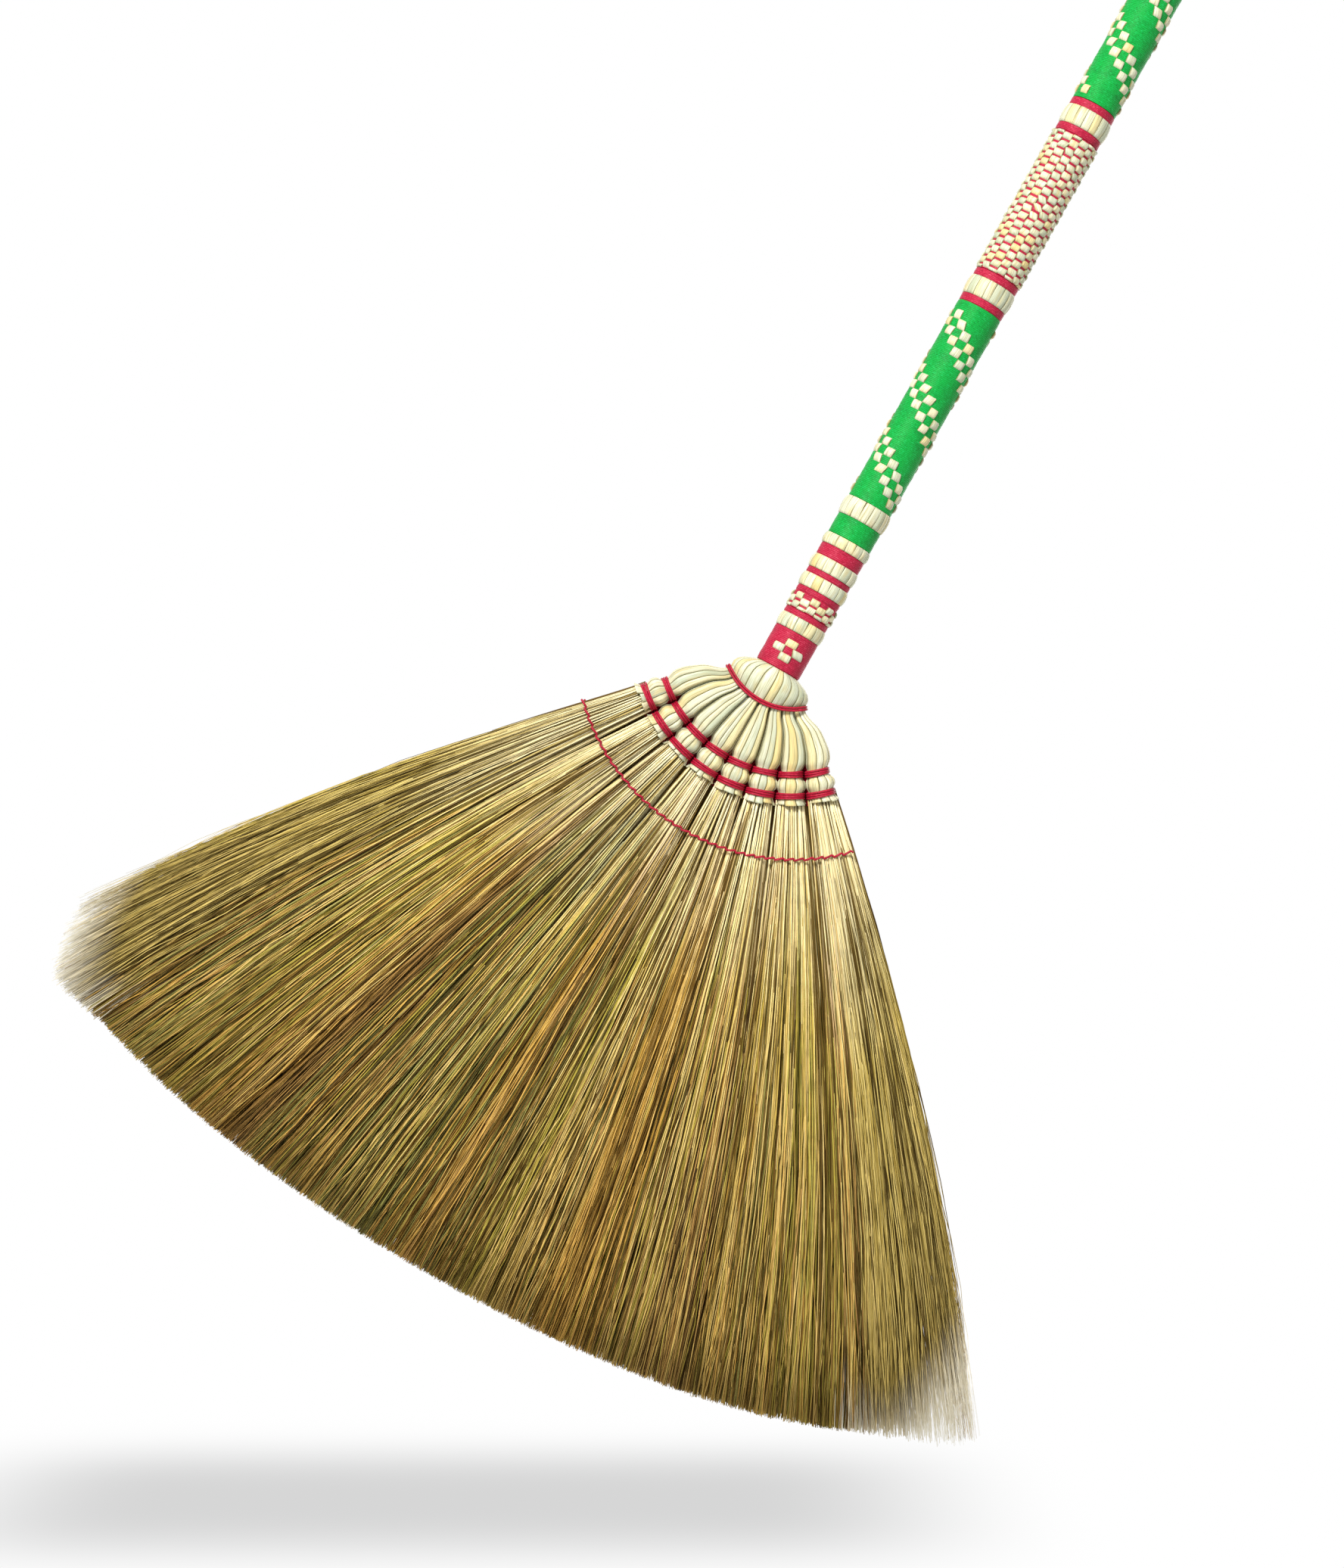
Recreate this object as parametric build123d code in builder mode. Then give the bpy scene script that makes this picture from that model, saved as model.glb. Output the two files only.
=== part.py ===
from build123d import *
from math import cos, pi, radians, sin, sqrt
import os

os.makedirs("parts", exist_ok=True)

# A straw broom, upright, handle up. The origin is the middle of the hanging hole that is drilled
# crosswise through the top of the stick. The fan of grass lies in the XZ plane and faces -Y.

# Stick
stick_d = 17.2
bare_end_h = 46.0          # bare wood above the last thread band
hole_d = 6.0
hole_below_top = 17.0
top_round = 4.0            # rounded edge of the top end
taper_h = 17.0             # the lower end narrows over this height below the dressed part
taper_d = 9.0
point_h = 28.0             # and then runs to a blunt point
point_d = 2.4
stick_lap = 0.6            # full width of the stick below the dressed part

# Lengthwise reed strips on the stick, and what is wound over them
reed_count = 16
reed_t = 1.0
reed_split = 0.2           # open joint between neighbouring strips
seat_gap = 0.05            # clearance between one layer and the next
wrap_t = 1.3
ring_bulge = 0.9           # how far a cream ring stands proud of the thread beside it
reed_lap = 1.6             # the strips run this far down inside the collar

# Reed floats: the short lengths of reed that show over the windings
float_t = 0.7
float_edge_t = 0.4
float_web_t = 0.2          # the strip under the thread, between two floats of one strip
float_split = 0.8          # thread that shows between two floats of one strip
float_side_gap = 0.3       # open joint between floats side by side
check_row = 4.2
check_foot = 2.2           # plain thread below the lowest row of checks
check_rows = 23
check_period = 8           # rows from one diagonal band of checks to the next
check_pair = 2             # rows between the two lines of one band
weave_rows = 17
short_weave_rows = 2
flower_float_w = 5.6
flower_row = 3.8

# Heights of the bands along the handle
flower_band_h = 18.6
slim_ring_h = 6.6
narrow_ring_h = 5.3
wide_ring_h = 9.2
slim_red_h = 3.0
edge_red_h = 3.9
broad_red_h = 6.1
plain_green_h = 10.2
long_green_h = 103.8
weave_h = (weave_rows + 1 / 2) * check_row
short_weave_h = short_weave_rows * check_row

# Head, laid out in circles round an apex that lies inside the handle
apex_rise = 15.1           # apex above the top of the collar
bundle_count = 8
under_collar_r = 27.6      # where the reed sheaths begin, inside the collar
stalk_top_r = 21.0
neck_r = 32.0
shoulder_r = 42.0
swell_r = 52.0
row1_r = 62.0
barrel_r = 67.0
row2_r = 72.0
fray_r = 76.5
bound_half_h = 2.2         # half the height of the waist under a binding
neck_angle = 38.5          # half angles of the whole fan
shoulder_angle = 46.0
swell_angle = 47.3
row_angle = 45.0
barrel_angle = 46.2
neck_depth = 20.4
shoulder_depth = 20.0
swell_depth = 19.2
row1_depth = 15.8
barrel_depth = 18.6
row2_depth = 16.6
fray_depth = 18.6
loose_gap = 0.4            # between bundles that are not bound
fray_gap = 0.9
sheath_t = 0.7
sheath_seat = 0.3          # clearance between the stalks and their sheath
socket_gap = 0.1           # round the stick's point

# Thread bindings
thread_d = 0.9
thread_pitch = 1.35
thread_seat = 0.25         # clearance between a binding and what it holds
binding_turns = 3
tie_wire_d = 0.8
tie_pitch = 1.3
tie_turns = 3
tie_r = 24.9
tie_half_depth = 9.9
tie_angle = 37.5
neck_flat_angle = 15.0     # the front run of the neck binding ends here
neck_turn_angle = 40.2     # and its side turn lies here

# Collar
collar_t = 0.9
collar_end_r = 29.0
collar_top_r = 11.4
collar_half_w = 19.8
collar_half_depth = 13.6
collar_shoulder_h = 2.2
collar_swell_h = 6.0
collar_foot_h = 18.0
collar_foot_half_depth = 12.6

# Grass
cut_r = 70.0               # where the bound stalks end and the spreading grass begins
strand_root_r = 71.5
strand_columns = 17
strand_root_w = 0.26
strand_root_t = 2.0
strand_tip_t = 4.4
root_layer_y = 4.2
tip_layer_y = 7.4
trim_half_w = 245.0        # the lower edge is trimmed to the lower half of an ellipse
trim_half_h = 74.2
trim_below_apex = 263.1
chord_angle = 40.5         # the outermost strand's root and tip lie on this slope
bow = 8.0                  # and its middle stands this far outside that slope
bow_length = 293.0
root_spread_share = 0.62     # how far the roots spread across their bundle, in the middle layer
outer_root_spread_share = 0.42
tip_spread_share = 1.0
strand_fill_share = 0.74   # of the room that a strand has beside its neighbours

# Stitch line
stitch_r = 101.0
stitch_d = 0.9
stitch_pitch = 1.6
stitch_half_depth = 7.6
stitch_flat_angle = 42.6
stitch_turn_angle = 46.4

# The handle's bands from the collar up: each thread winding under its own name, and the rings
# where the lengthwise reeds show
layout = [
    ("flower_band", flower_band_h),
    ("ring", slim_ring_h),
    ("red_bands_neck", slim_red_h),
    ("weave_thread_short", short_weave_h),
    ("red_bands_neck", slim_red_h),
    ("ring", slim_ring_h),
    ("red_bands_neck", slim_red_h),
    ("ring", slim_ring_h),
    ("red_bands_neck", broad_red_h),
    ("ring", narrow_ring_h),
    ("green_wrap_short", plain_green_h),
    ("ring", wide_ring_h),
    ("green_wrap_lower", long_green_h),
    ("red_bands_1", edge_red_h),
    ("ring", wide_ring_h),
    ("red_bands_1", edge_red_h),
    ("weave_thread_lower", weave_h),
    ("red_bands_2", edge_red_h),
    ("ring", wide_ring_h),
    ("red_bands_2", edge_red_h),
    ("green_wrap_middle", long_green_h),
    ("red_bands_3", edge_red_h),
    ("ring", wide_ring_h),
    ("red_bands_3", edge_red_h),
    ("weave_thread_upper", weave_h),
    ("red_bands_4", edge_red_h),
    ("ring", wide_ring_h),
    ("red_bands_4", edge_red_h),
    ("green_wrap_top", long_green_h),
    ("red_bands_5", edge_red_h),
    ("ring", wide_ring_h),
    ("red_bands_5", edge_red_h),
]

# Sizes that follow
dressed_h = sum(height for name, height in layout)
stick_top_z = hole_below_top
dressed_top_z = stick_top_z - bare_end_h
collar_top_z = dressed_top_z - dressed_h
apex_z = collar_top_z + apex_rise
reed_in_r = stick_d / 2 + seat_gap
reed_out_r = reed_in_r + reed_t
wrap_in_r = reed_out_r + seat_gap
wrap_out_r = wrap_in_r + wrap_t
strip_angle = 360 / reed_count
front_angle = -90          # the column of reeds that faces -Y


def spans_of(wanted):
    """Bottom and top of each band of this name."""
    spans = []
    bottom = collar_top_z
    for name, height in layout:
        if name == wanted:
            spans.append((bottom, bottom + height))
        bottom += height
    return spans


def open_angle(gap, radius):
    """The angle that a gap takes up on a circle."""
    return gap / radius * 180 / pi


# Stick, tapered at its lower end and drilled at its top

def stick_form(clearance):
    """The stick's outline turned about Z, grown by a clearance."""
    lap_z = collar_top_z - stick_lap
    taper_z = lap_z - taper_h
    point_z = taper_z - point_h
    with BuildPart() as form:
        with BuildSketch(Plane.XZ):
            with BuildLine():
                Polyline(
                    (0, stick_top_z),
                    (stick_d / 2 + clearance, stick_top_z),
                    (stick_d / 2 + clearance, lap_z - clearance),
                    (taper_d / 2 + clearance, taper_z - clearance),
                    (point_d / 2 + clearance, point_z - clearance),
                    (0, point_z - clearance),
                    close=True,
                )
            make_face()
        revolve(axis=Axis.Z)
    return form.part


with BuildPart() as handle_stick:
    add(stick_form(0))
    fillet(handle_stick.faces().sort_by(Axis.Z)[-1].edges(), radius=top_round)
    with BuildSketch(Plane.XZ):
        Circle(hole_d / 2)
    extrude(amount=stick_d, both=True, mode=Mode.SUBTRACT)

handle_stick.part.label = "handle_stick"
export_step(handle_stick.part, "parts/handle_stick.step")


# Lengthwise reeds: one strip, swelling out at every ring, and its copies round the stick

with BuildPart() as reed_strip:
    with BuildSketch(Plane.XZ):
        with BuildLine():
            corner = (reed_out_r, collar_top_z - reed_lap)
            foot = Line((reed_in_r, collar_top_z - reed_lap), corner)
            for bottom, top in spans_of("ring"):
                low = (wrap_out_r, bottom + seat_gap)
                high = (wrap_out_r, top - seat_gap)
                Polyline(corner, (reed_out_r, bottom + seat_gap), low)
                ThreePointArc(low, (wrap_out_r + ring_bulge, (bottom + top) / 2), high)
                corner = (reed_out_r, top - seat_gap)
                Line(high, corner)
            Polyline(corner, (reed_out_r, dressed_top_z), (reed_in_r, dressed_top_z), foot @ 0)
        make_face()
    revolve(axis=Axis.Z, revolution_arc=strip_angle - open_angle(reed_split, reed_in_r))

with BuildPart() as handle_reeds:
    with PolarLocations(0, reed_count):
        add(reed_strip.part)

handle_reeds.part.label = "handle_reeds"
export_step(handle_reeds.part, "parts/handle_reeds.step")


# Thread windings on the handle

winding_names = []
for name, height in layout:
    if name != "ring" and name not in winding_names:
        winding_names.append(name)

for name in winding_names:
    with BuildPart() as winding:
        for bottom, top in spans_of(name):
            with BuildSketch(Plane.XY.offset(bottom)):
                Circle(wrap_out_r)
                Circle(wrap_in_r, mode=Mode.SUBTRACT)
            extrude(amount=top - bottom)
    winding.part.label = name
    export_step(winding.part, f"parts/{name}.step")


# Reed floats over the windings

def reed_float(height, width_angle):
    """One float, crowned, centred on the XZ plane and on z = 0."""
    foot_r = wrap_out_r + seat_gap
    with BuildPart() as pad:
        with BuildSketch(Plane.XZ.rotated((0, 0, -width_angle / 2))):
            with BuildLine():
                low = (foot_r + float_edge_t, -height / 2)
                high = (foot_r + float_edge_t, height / 2)
                Polyline(low, (foot_r, -height / 2), (foot_r, height / 2), high)
                ThreePointArc(high, (foot_r + float_t, 0), low)
            make_face()
        revolve(axis=Axis.Z, revolution_arc=width_angle)
    return pad.part


def float_place(z, column):
    """Where a float goes: its height, and its column counted from the front."""
    return Location((0, 0, z), (0, 0, front_angle + column * strip_angle))


float_angle = strip_angle - open_angle(float_side_gap, wrap_out_r)
check_float = reed_float(check_row - float_split / 2, float_angle)

check_starts = {"lower": 2, "middle": 4, "top": 2}

for section, start in check_starts.items():
    wrap_bottom, wrap_top = spans_of(f"green_wrap_{section}")[0]
    check_places = []
    for row in range(check_rows):
        for column in range(reed_count):
            if (row + column - start) % check_period in (0, check_pair):
                z = wrap_bottom + check_foot + (row + 1 / 2) * check_row
                check_places.append(float_place(z, column))
    with BuildPart() as checks:
        with Locations(*check_places):
            add(check_float)
    checks.part.label = f"green_checks_{section}"
    export_step(checks.part, f"parts/green_checks_{section}.step")


def woven_strip(bottom, top, offset):
    """One strip of a checkerboard weave: floats, joined by thin webs under the thread."""
    foot_r = wrap_out_r + seat_gap
    web_r = foot_r + float_web_t
    edge_r = foot_r + float_edge_t
    with BuildPart() as strip:
        with BuildSketch(Plane.XZ.rotated((0, 0, -float_angle / 2))):
            with BuildLine():
                corner = (web_r, bottom)
                foot = Line((foot_r, bottom), corner)
                middle = bottom + check_row / 2 - offset
                while middle < top:
                    low = max(middle - (check_row - float_split) / 2, bottom + seat_gap)
                    high = min(middle + (check_row - float_split) / 2, top - seat_gap)
                    if high > low:
                        Polyline(corner, (web_r, low), (edge_r, low))
                        ThreePointArc((edge_r, low), (foot_r + float_t, (low + high) / 2), (edge_r, high))
                        corner = (web_r, high)
                        Line((edge_r, high), corner)
                    middle += check_row
                Polyline(corner, (web_r, top), (foot_r, top), foot @ 0)
            make_face()
        revolve(axis=Axis.Z, revolution_arc=float_angle)
    return strip.part


for section in ("short", "lower", "upper"):
    thread_bottom, thread_top = spans_of(f"weave_thread_{section}")[0]
    columns = range(0, reed_count, 2)
    with BuildPart() as weave:
        with Locations(*[float_place(0, column) for column in columns]):
            add(woven_strip(thread_bottom, thread_top, 0))
        with Locations(*[float_place(0, column + 1) for column in columns]):
            add(woven_strip(thread_bottom, thread_top, check_row / 2))
    weave.part.label = f"weave_reeds_{section}"
    export_step(weave.part, f"parts/weave_reeds_{section}.step")

flower_bottom, flower_top = spans_of("flower_band")[0]
flower_z = (flower_bottom + flower_top) / 2
flower_angle = open_angle(flower_float_w, wrap_out_r)
flower_float = reed_float(flower_row - seat_gap, flower_angle - open_angle(seat_gap, wrap_out_r))
flower_places = [
    Location((0, 0, flower_z + flower_row), (0, 0, front_angle)),
    Location((0, 0, flower_z - flower_row), (0, 0, front_angle)),
    Location((0, 0, flower_z), (0, 0, front_angle - flower_angle)),
    Location((0, 0, flower_z), (0, 0, front_angle + flower_angle)),
]

with BuildPart() as flower_reeds:
    with Locations(*flower_places):
        add(flower_float)

flower_reeds.part.label = "flower_reeds"
export_step(flower_reeds.part, "parts/flower_reeds.step")


# The fan's own coordinates

def fan_spot(radius, angle, depth=0):
    """A point at this distance from the apex, this many degrees from straight down."""
    turn = radians(angle)
    return Vector(radius * sin(turn), depth, apex_z - radius * cos(turn))


def fan_out(angle):
    """The direction away from the apex."""
    return Vector(sin(radians(angle)), 0, -cos(radians(angle)))


def fan_along(angle):
    """The direction along the fan, towards +X."""
    return Vector(cos(radians(angle)), 0, sin(radians(angle)))


def fan_plane(radius, angle):
    """A plane across a bundle."""
    return Plane(origin=fan_spot(radius, angle), x_dir=fan_along(angle), z_dir=fan_out(angle))


def bundle_share(number):
    """A bundle's place in the fan, from -1 at one edge to 1 at the other."""
    return (2 * number - 1) / bundle_count - 1


# Outline of the bundles: distance from the apex, half angle of the fan, gap beside the bundle,
# depth, and how far the neck's round section draws in the bundles beside the middle
bound_gap = 2 * (thread_d + thread_seat) + loose_gap
outline = [
    (under_collar_r, neck_angle, loose_gap, neck_depth, 1),
    (neck_r - bound_half_h, neck_angle, loose_gap, neck_depth, 1),
    (neck_r + bound_half_h, neck_angle, loose_gap, neck_depth, 1),
    (shoulder_r, shoulder_angle, loose_gap, shoulder_depth, 1 / 2),
    (swell_r, swell_angle, loose_gap, swell_depth, 1 / 4),
    (row1_r - bound_half_h, row_angle, bound_gap, row1_depth, 0),
    (row1_r + bound_half_h, row_angle, bound_gap, row1_depth, 0),
    (barrel_r, barrel_angle, loose_gap, barrel_depth, 0),
    (row2_r - bound_half_h, row_angle, bound_gap, row2_depth, 0),
    (row2_r + bound_half_h, row_angle, bound_gap, row2_depth, 0),
    (fray_r, barrel_angle, fray_gap, fray_depth, 0),
]
stalk_outline = [(stalk_top_r, neck_angle, loose_gap, neck_depth, 1)] + outline


def bundle_form(share, rows, inset):
    """A bundle's outer shape, drawn in by an inset."""
    with BuildPart() as form:
        for radius, angle, gap, depth, round_share in rows:
            width = radius * 2 * radians(angle) / bundle_count - gap
            drawn_depth = depth * sqrt(1 - round_share * share**2)
            with BuildSketch(fan_plane(radius, share * angle)):
                Ellipse(width / 2 - inset, drawn_depth / 2 - inset)
        loft(ruled=True)
    return form.part


stick_socket = stick_form(socket_gap)
core_inset = sheath_t + sheath_seat


def make_sheath(share):
    """A bundle's sheath of overlapping reed strips, a thin sleeve open at both ends."""
    with BuildPart() as sheath:
        add(bundle_form(share, outline, 0))
        add(bundle_form(share, outline, sheath_t), mode=Mode.SUBTRACT)
        add(stick_socket, mode=Mode.SUBTRACT)
    return sheath.part


def make_stalks(share):
    """The bound stalks inside a sheath, hollowed where the stick's point goes in."""
    with BuildPart() as stalks:
        add(bundle_form(share, stalk_outline, core_inset))
        split(bisect_by=fan_plane(cut_r, share * row_angle), keep=Keep.BOTTOM)
        add(stick_socket, mode=Mode.SUBTRACT)
    return stalks.part


# Grass strands: four-sided, from the last binding to the trimmed edge

def strand_path(root_share, tip_share, root_y, tip_y):
    """Root, middle and tip of a strand. The tip lies on the trimmed edge."""
    root = fan_spot(strand_root_r, root_share * row_angle, root_y)
    way = fan_out(tip_share * chord_angle)
    start_x = root.X / trim_half_w
    start_z = (root.Z - apex_z + trim_below_apex) / trim_half_h
    step_x = way.X / trim_half_w
    step_z = way.Z / trim_half_h
    square = step_x**2 + step_z**2
    cross = start_x * step_x + start_z * step_z
    rest = start_x**2 + start_z**2 - 1
    length = (sqrt(cross**2 - square * rest) - cross) / square
    tip = root + way * length + Vector(0, tip_y - root_y, 0)
    out = fan_along(tip_share * chord_angle)
    middle = (root + tip) / 2 + out * (bow * tip_share * length / bow_length)
    return [root, middle, tip]


def strand_spots(share, column, layer):
    """A strand's path from its bundle, its column (-1 to 1) and its layer (-1, 0 or 1)."""
    root_spread_used_share = root_spread_share if layer == 0 else outer_root_spread_share
    root_share = share + column * root_spread_used_share / bundle_count
    tip_share = share + column * tip_spread_share / bundle_count
    return strand_path(root_share, tip_share, layer * root_layer_y, layer * tip_layer_y)


def make_strand(share, column, layer):
    """One tapered strand, as wide as its neighbours leave room for."""
    spots = strand_spots(share, column, layer)
    step = 1 / strand_columns
    before = strand_spots(share, column - step, layer)
    after = strand_spots(share, column + step, layer)
    ways = [(spots[1] - spots[0]), (spots[2] - spots[0]), (spots[2] - spots[1])]
    thick = [strand_root_t, (strand_root_t + strand_tip_t) / 2, strand_tip_t]
    with BuildPart() as strand:
        for index, spot in enumerate(spots):
            way = Vector(ways[index].X, 0, ways[index].Z).normalized()
            side = Vector(-way.Z, 0, way.X)
            room = abs((after[index] - before[index]).dot(side))
            width = strand_root_w if index == 0 else strand_fill_share * room
            with BuildSketch(Plane(origin=spot, x_dir=side, z_dir=way)):
                Rectangle(width, thick[index])
        loft(ruled=True)
    return strand.part


def make_bristles(share):
    """A bundle's spreading grass: its strands, fused to a slice of the bound stalks."""
    strands = []
    for layer in (-1, 0, 1):
        for index in range(strand_columns):
            offset = 0 if layer else 1 / 2
            column = (2 * (index + offset) + 1 - strand_columns) / strand_columns
            strands.append(make_strand(share, column, layer))
    with BuildPart() as bristles:
        add(bundle_form(share, outline, core_inset))
        split(bisect_by=fan_plane(cut_r, share * row_angle), keep=Keep.TOP)
        add(strands)
    return bristles.part


for number in range(1, bundle_count // 2 + 1):
    twin = bundle_count + 1 - number
    for node, make in (
        ("reed_sheath", make_sheath),
        ("stalk_bundle", make_stalks),
        ("bristles", make_bristles),
    ):
        piece = make(bundle_share(twin))
        for place, shape in ((twin, piece), (number, mirror(piece, about=Plane.YZ))):
            shape.label = f"{node}_{place}"
            export_step(shape, f"parts/{node}_{place}.step")


# Thread bindings, each one unbroken tube

def biarc(start, start_way, end, end_way):
    """Two arcs in a row that leave the start and reach the end in the given directions."""
    reach_line = end - start
    ways = start_way + end_way
    lean = reach_line.dot(ways)
    spread = 2 * (1 - start_way.dot(end_way))
    reach = (sqrt(lean**2 + spread * reach_line.dot(reach_line)) - lean) / spread
    before = start + start_way * reach
    after = end - end_way * reach
    middle = (before + after) / 2
    TangentArc(start, middle, tangent=start_way)
    TangentArc(middle, end, tangent=(after - before).normalized())


def least_gap(route, turns, tube_d):
    """The least gap of a wound tube to itself, measured on points of its middle line."""
    steps = round(turns * 120)
    spots = [route @ (step / steps) for step in range(steps + 1)]
    apart = round(steps / turns / 2)
    nearest = min(
        (spots[first] - spots[second]).length
        for first in range(steps + 1)
        for second in range(first + apart, steps + 1)
    )
    return nearest - tube_d


def wound_tube(name, knots, turns, tube_d):
    """A tube through knots, which are points with directions, with a straight run at each end."""
    with BuildPart() as tube:
        with BuildLine() as line:
            Line(knots[0][0] - knots[0][1] * tube_d, knots[0][0])
            for (start, start_way), (end, end_way) in zip(knots, knots[1:]):
                biarc(start, start_way, end, end_way)
            Line(knots[-1][0], knots[-1][0] + knots[-1][1] * tube_d)
        route = line.wire()
        with BuildSketch(Plane(origin=route @ 0, z_dir=route % 0)):
            Circle(tube_d / 2)
        sweep()
    print(f"{name}: least gap to itself {least_gap(route, turns, tube_d):.2f} mm")
    return tube.part


def ellipse_knots(half_w, half_depth, turns, pitch):
    """Quarter turns round a bundle, in its own plane, beginning at its back."""
    knots = []
    for quarter in range(4 * turns + 1):
        turn = (quarter - 1) * pi / 2
        spot = Vector(half_w * cos(turn), half_depth * sin(turn), (quarter / 4 - turns / 2) * pitch)
        way = Vector(-half_w * sin(turn), half_depth * cos(turn), pitch / (2 * pi))
        knots.append((spot, way.normalized()))
    return knots


def make_bindings(name, radius, depth):
    """One row of bindings, one round each bundle."""
    spare = thread_seat + thread_d / 2
    width = radius * 2 * radians(row_angle) / bundle_count - bound_gap
    knots = ellipse_knots(width / 2 + spare, depth / 2 + spare, binding_turns, thread_pitch)
    one = wound_tube(name, knots, binding_turns, thread_d)
    places = []
    for number in range(1, bundle_count + 1):
        places.append(fan_plane(radius, bundle_share(number) * row_angle).location)
    with BuildPart() as row:
        with Locations(*places):
            add(one)
    row.part.label = name
    export_step(row.part, f"parts/{name}.step")


make_bindings("bundle_bindings_upper", row1_r, row1_depth)
make_bindings("bundle_bindings_lower", row2_r, row2_depth)


def fan_knots(radius, flat_angle, turn_angle, half_depth, turns, pitch):
    """Turns round the whole fan, from the middle of its back: a run, a side, a run, a side."""
    along = [
        (0, half_depth, 1),
        (flat_angle, half_depth, 1),
        (turn_angle, 0, 0),
        (flat_angle, -half_depth, -1),
        (-flat_angle, -half_depth, -1),
        (-turn_angle, 0, 0),
        (-flat_angle, half_depth, 1),
    ]
    part_shares = (0, 1 / 8, 1 / 4, 3 / 8, 5 / 8, 3 / 4, 7 / 8)
    knots = []
    for loop in range(turns):
        for (angle, depth, way), share in zip(along, part_shares):
            level = radius + (loop + share - turns / 2) * pitch
            climb = fan_out(angle) * (pitch / (4 * radius))
            side = Vector(0, -1 if angle > 0 else 1, 0)
            heading = (fan_along(angle) * way if way else side) + climb
            knots.append((fan_spot(level, angle, depth), heading.normalized()))
    last = fan_spot(radius + turns / 2 * pitch, 0, half_depth)
    knots.append((last, knots[0][1]))
    return knots


neck_half_depth = neck_depth / 2 + thread_seat + thread_d / 2
neck_knots = fan_knots(
    neck_r, neck_flat_angle, neck_turn_angle, neck_half_depth, binding_turns, thread_pitch
)
neck_binding = wound_tube("neck_binding", neck_knots, binding_turns, thread_d)
neck_binding.label = "neck_binding"
export_step(neck_binding, "parts/neck_binding.step")

tie_knots = fan_knots(tie_r, neck_flat_angle, tie_angle, tie_half_depth, tie_turns, tie_pitch)
neck_tie_wire = wound_tube("neck_tie_wire", tie_knots, tie_turns, tie_wire_d)
neck_tie_wire.label = "neck_tie_wire"
export_step(neck_tie_wire, "parts/neck_tie_wire.step")

stitch_knots = fan_knots(
    stitch_r, stitch_flat_angle, stitch_turn_angle, stitch_half_depth, 1, stitch_pitch
)
stitch_thread = wound_tube("stitch_thread", stitch_knots, 1, stitch_d)
stitch_thread.label = "stitch_thread"
export_step(stitch_thread, "parts/stitch_thread.step")


# Collar: a bulging sleeve of flat reed that ends on a circle round the apex

def collar_form(inset):
    """The collar's outer shape, drawn in by an inset."""
    rows = [
        (0, collar_top_r, collar_top_r),
        (collar_shoulder_h, (collar_top_r + collar_half_w) / 2, (collar_top_r + collar_half_depth) / 2),
        (collar_swell_h, collar_half_w, collar_half_depth),
        (collar_foot_h, collar_half_w, collar_foot_half_depth),
    ]
    with BuildPart() as form:
        for drop, half_w, half_depth in rows:
            with BuildSketch(Plane.XY.offset(collar_top_z - seat_gap - drop)):
                Ellipse(half_w - inset, half_depth - inset)
        loft(ruled=True)
    return form.part


with BuildPart() as collar:
    add(collar_form(0))
    add(collar_form(collar_t), mode=Mode.SUBTRACT)
    with BuildSketch(Plane.XZ):
        with Locations((0, apex_z)):
            Circle(collar_end_r)
    extrude(amount=collar_half_w, both=True, mode=Mode.INTERSECT)

collar.part.label = "collar"
export_step(collar.part, "parts/collar.step")
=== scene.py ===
from math import cos, pi, radians, sin

import bpy
import numpy as np
from mathutils import Matrix, Vector, noise


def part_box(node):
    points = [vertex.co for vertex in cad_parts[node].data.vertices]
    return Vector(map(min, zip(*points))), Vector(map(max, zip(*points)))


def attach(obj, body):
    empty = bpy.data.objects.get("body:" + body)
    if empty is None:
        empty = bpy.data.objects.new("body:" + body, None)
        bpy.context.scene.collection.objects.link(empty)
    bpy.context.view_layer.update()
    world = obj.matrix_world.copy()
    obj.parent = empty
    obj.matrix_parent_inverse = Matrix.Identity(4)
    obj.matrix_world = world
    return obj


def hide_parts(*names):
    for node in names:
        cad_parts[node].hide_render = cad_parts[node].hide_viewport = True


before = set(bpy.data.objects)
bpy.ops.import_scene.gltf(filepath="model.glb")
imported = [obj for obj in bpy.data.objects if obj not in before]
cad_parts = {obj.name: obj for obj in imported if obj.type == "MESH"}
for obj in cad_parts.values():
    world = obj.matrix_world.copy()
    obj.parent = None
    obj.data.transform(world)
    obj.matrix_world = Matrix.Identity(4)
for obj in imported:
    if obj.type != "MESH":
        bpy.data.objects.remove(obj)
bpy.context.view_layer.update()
bpy.ops.object.select_all(action="DESELECT")

MM = 0.001
chance = np.random.default_rng(29)

# Sizes of the handle's dressing, in metres
collar_top_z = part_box("flower_band")[0].z
thread_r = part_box("green_wrap_lower")[1].x
reed_count = 16
column_turn = 2 * pi / reed_count
front_turn = -pi / 2

# Thread windings. The real turns are finer than these, too fine to show at this size.
thread_sides = 44
thread_depth = 1.25 * MM
thread_turn = 0.8 * MM
ridge = 0.07 * MM
shoulder = 0.5 * MM
shoulder_drop = 0.3 * MM
broad_lump = 0.16 * MM
broad_lump_rate = 260
small_lump = 0.10 * MM
small_lump_rate = 900

# Rings of reed between the windings
ring_bulge = 0.95 * MM
ring_sunk = 0.35 * MM
ring_swell = 0.3 * MM
ring_back = 1.1 * MM
ring_slit = 0.99
ring_across = np.array([-1, -0.82, -0.4, 0, 0.4, 0.82, 1])
ring_along = np.linspace(0, 1, 9)

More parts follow.
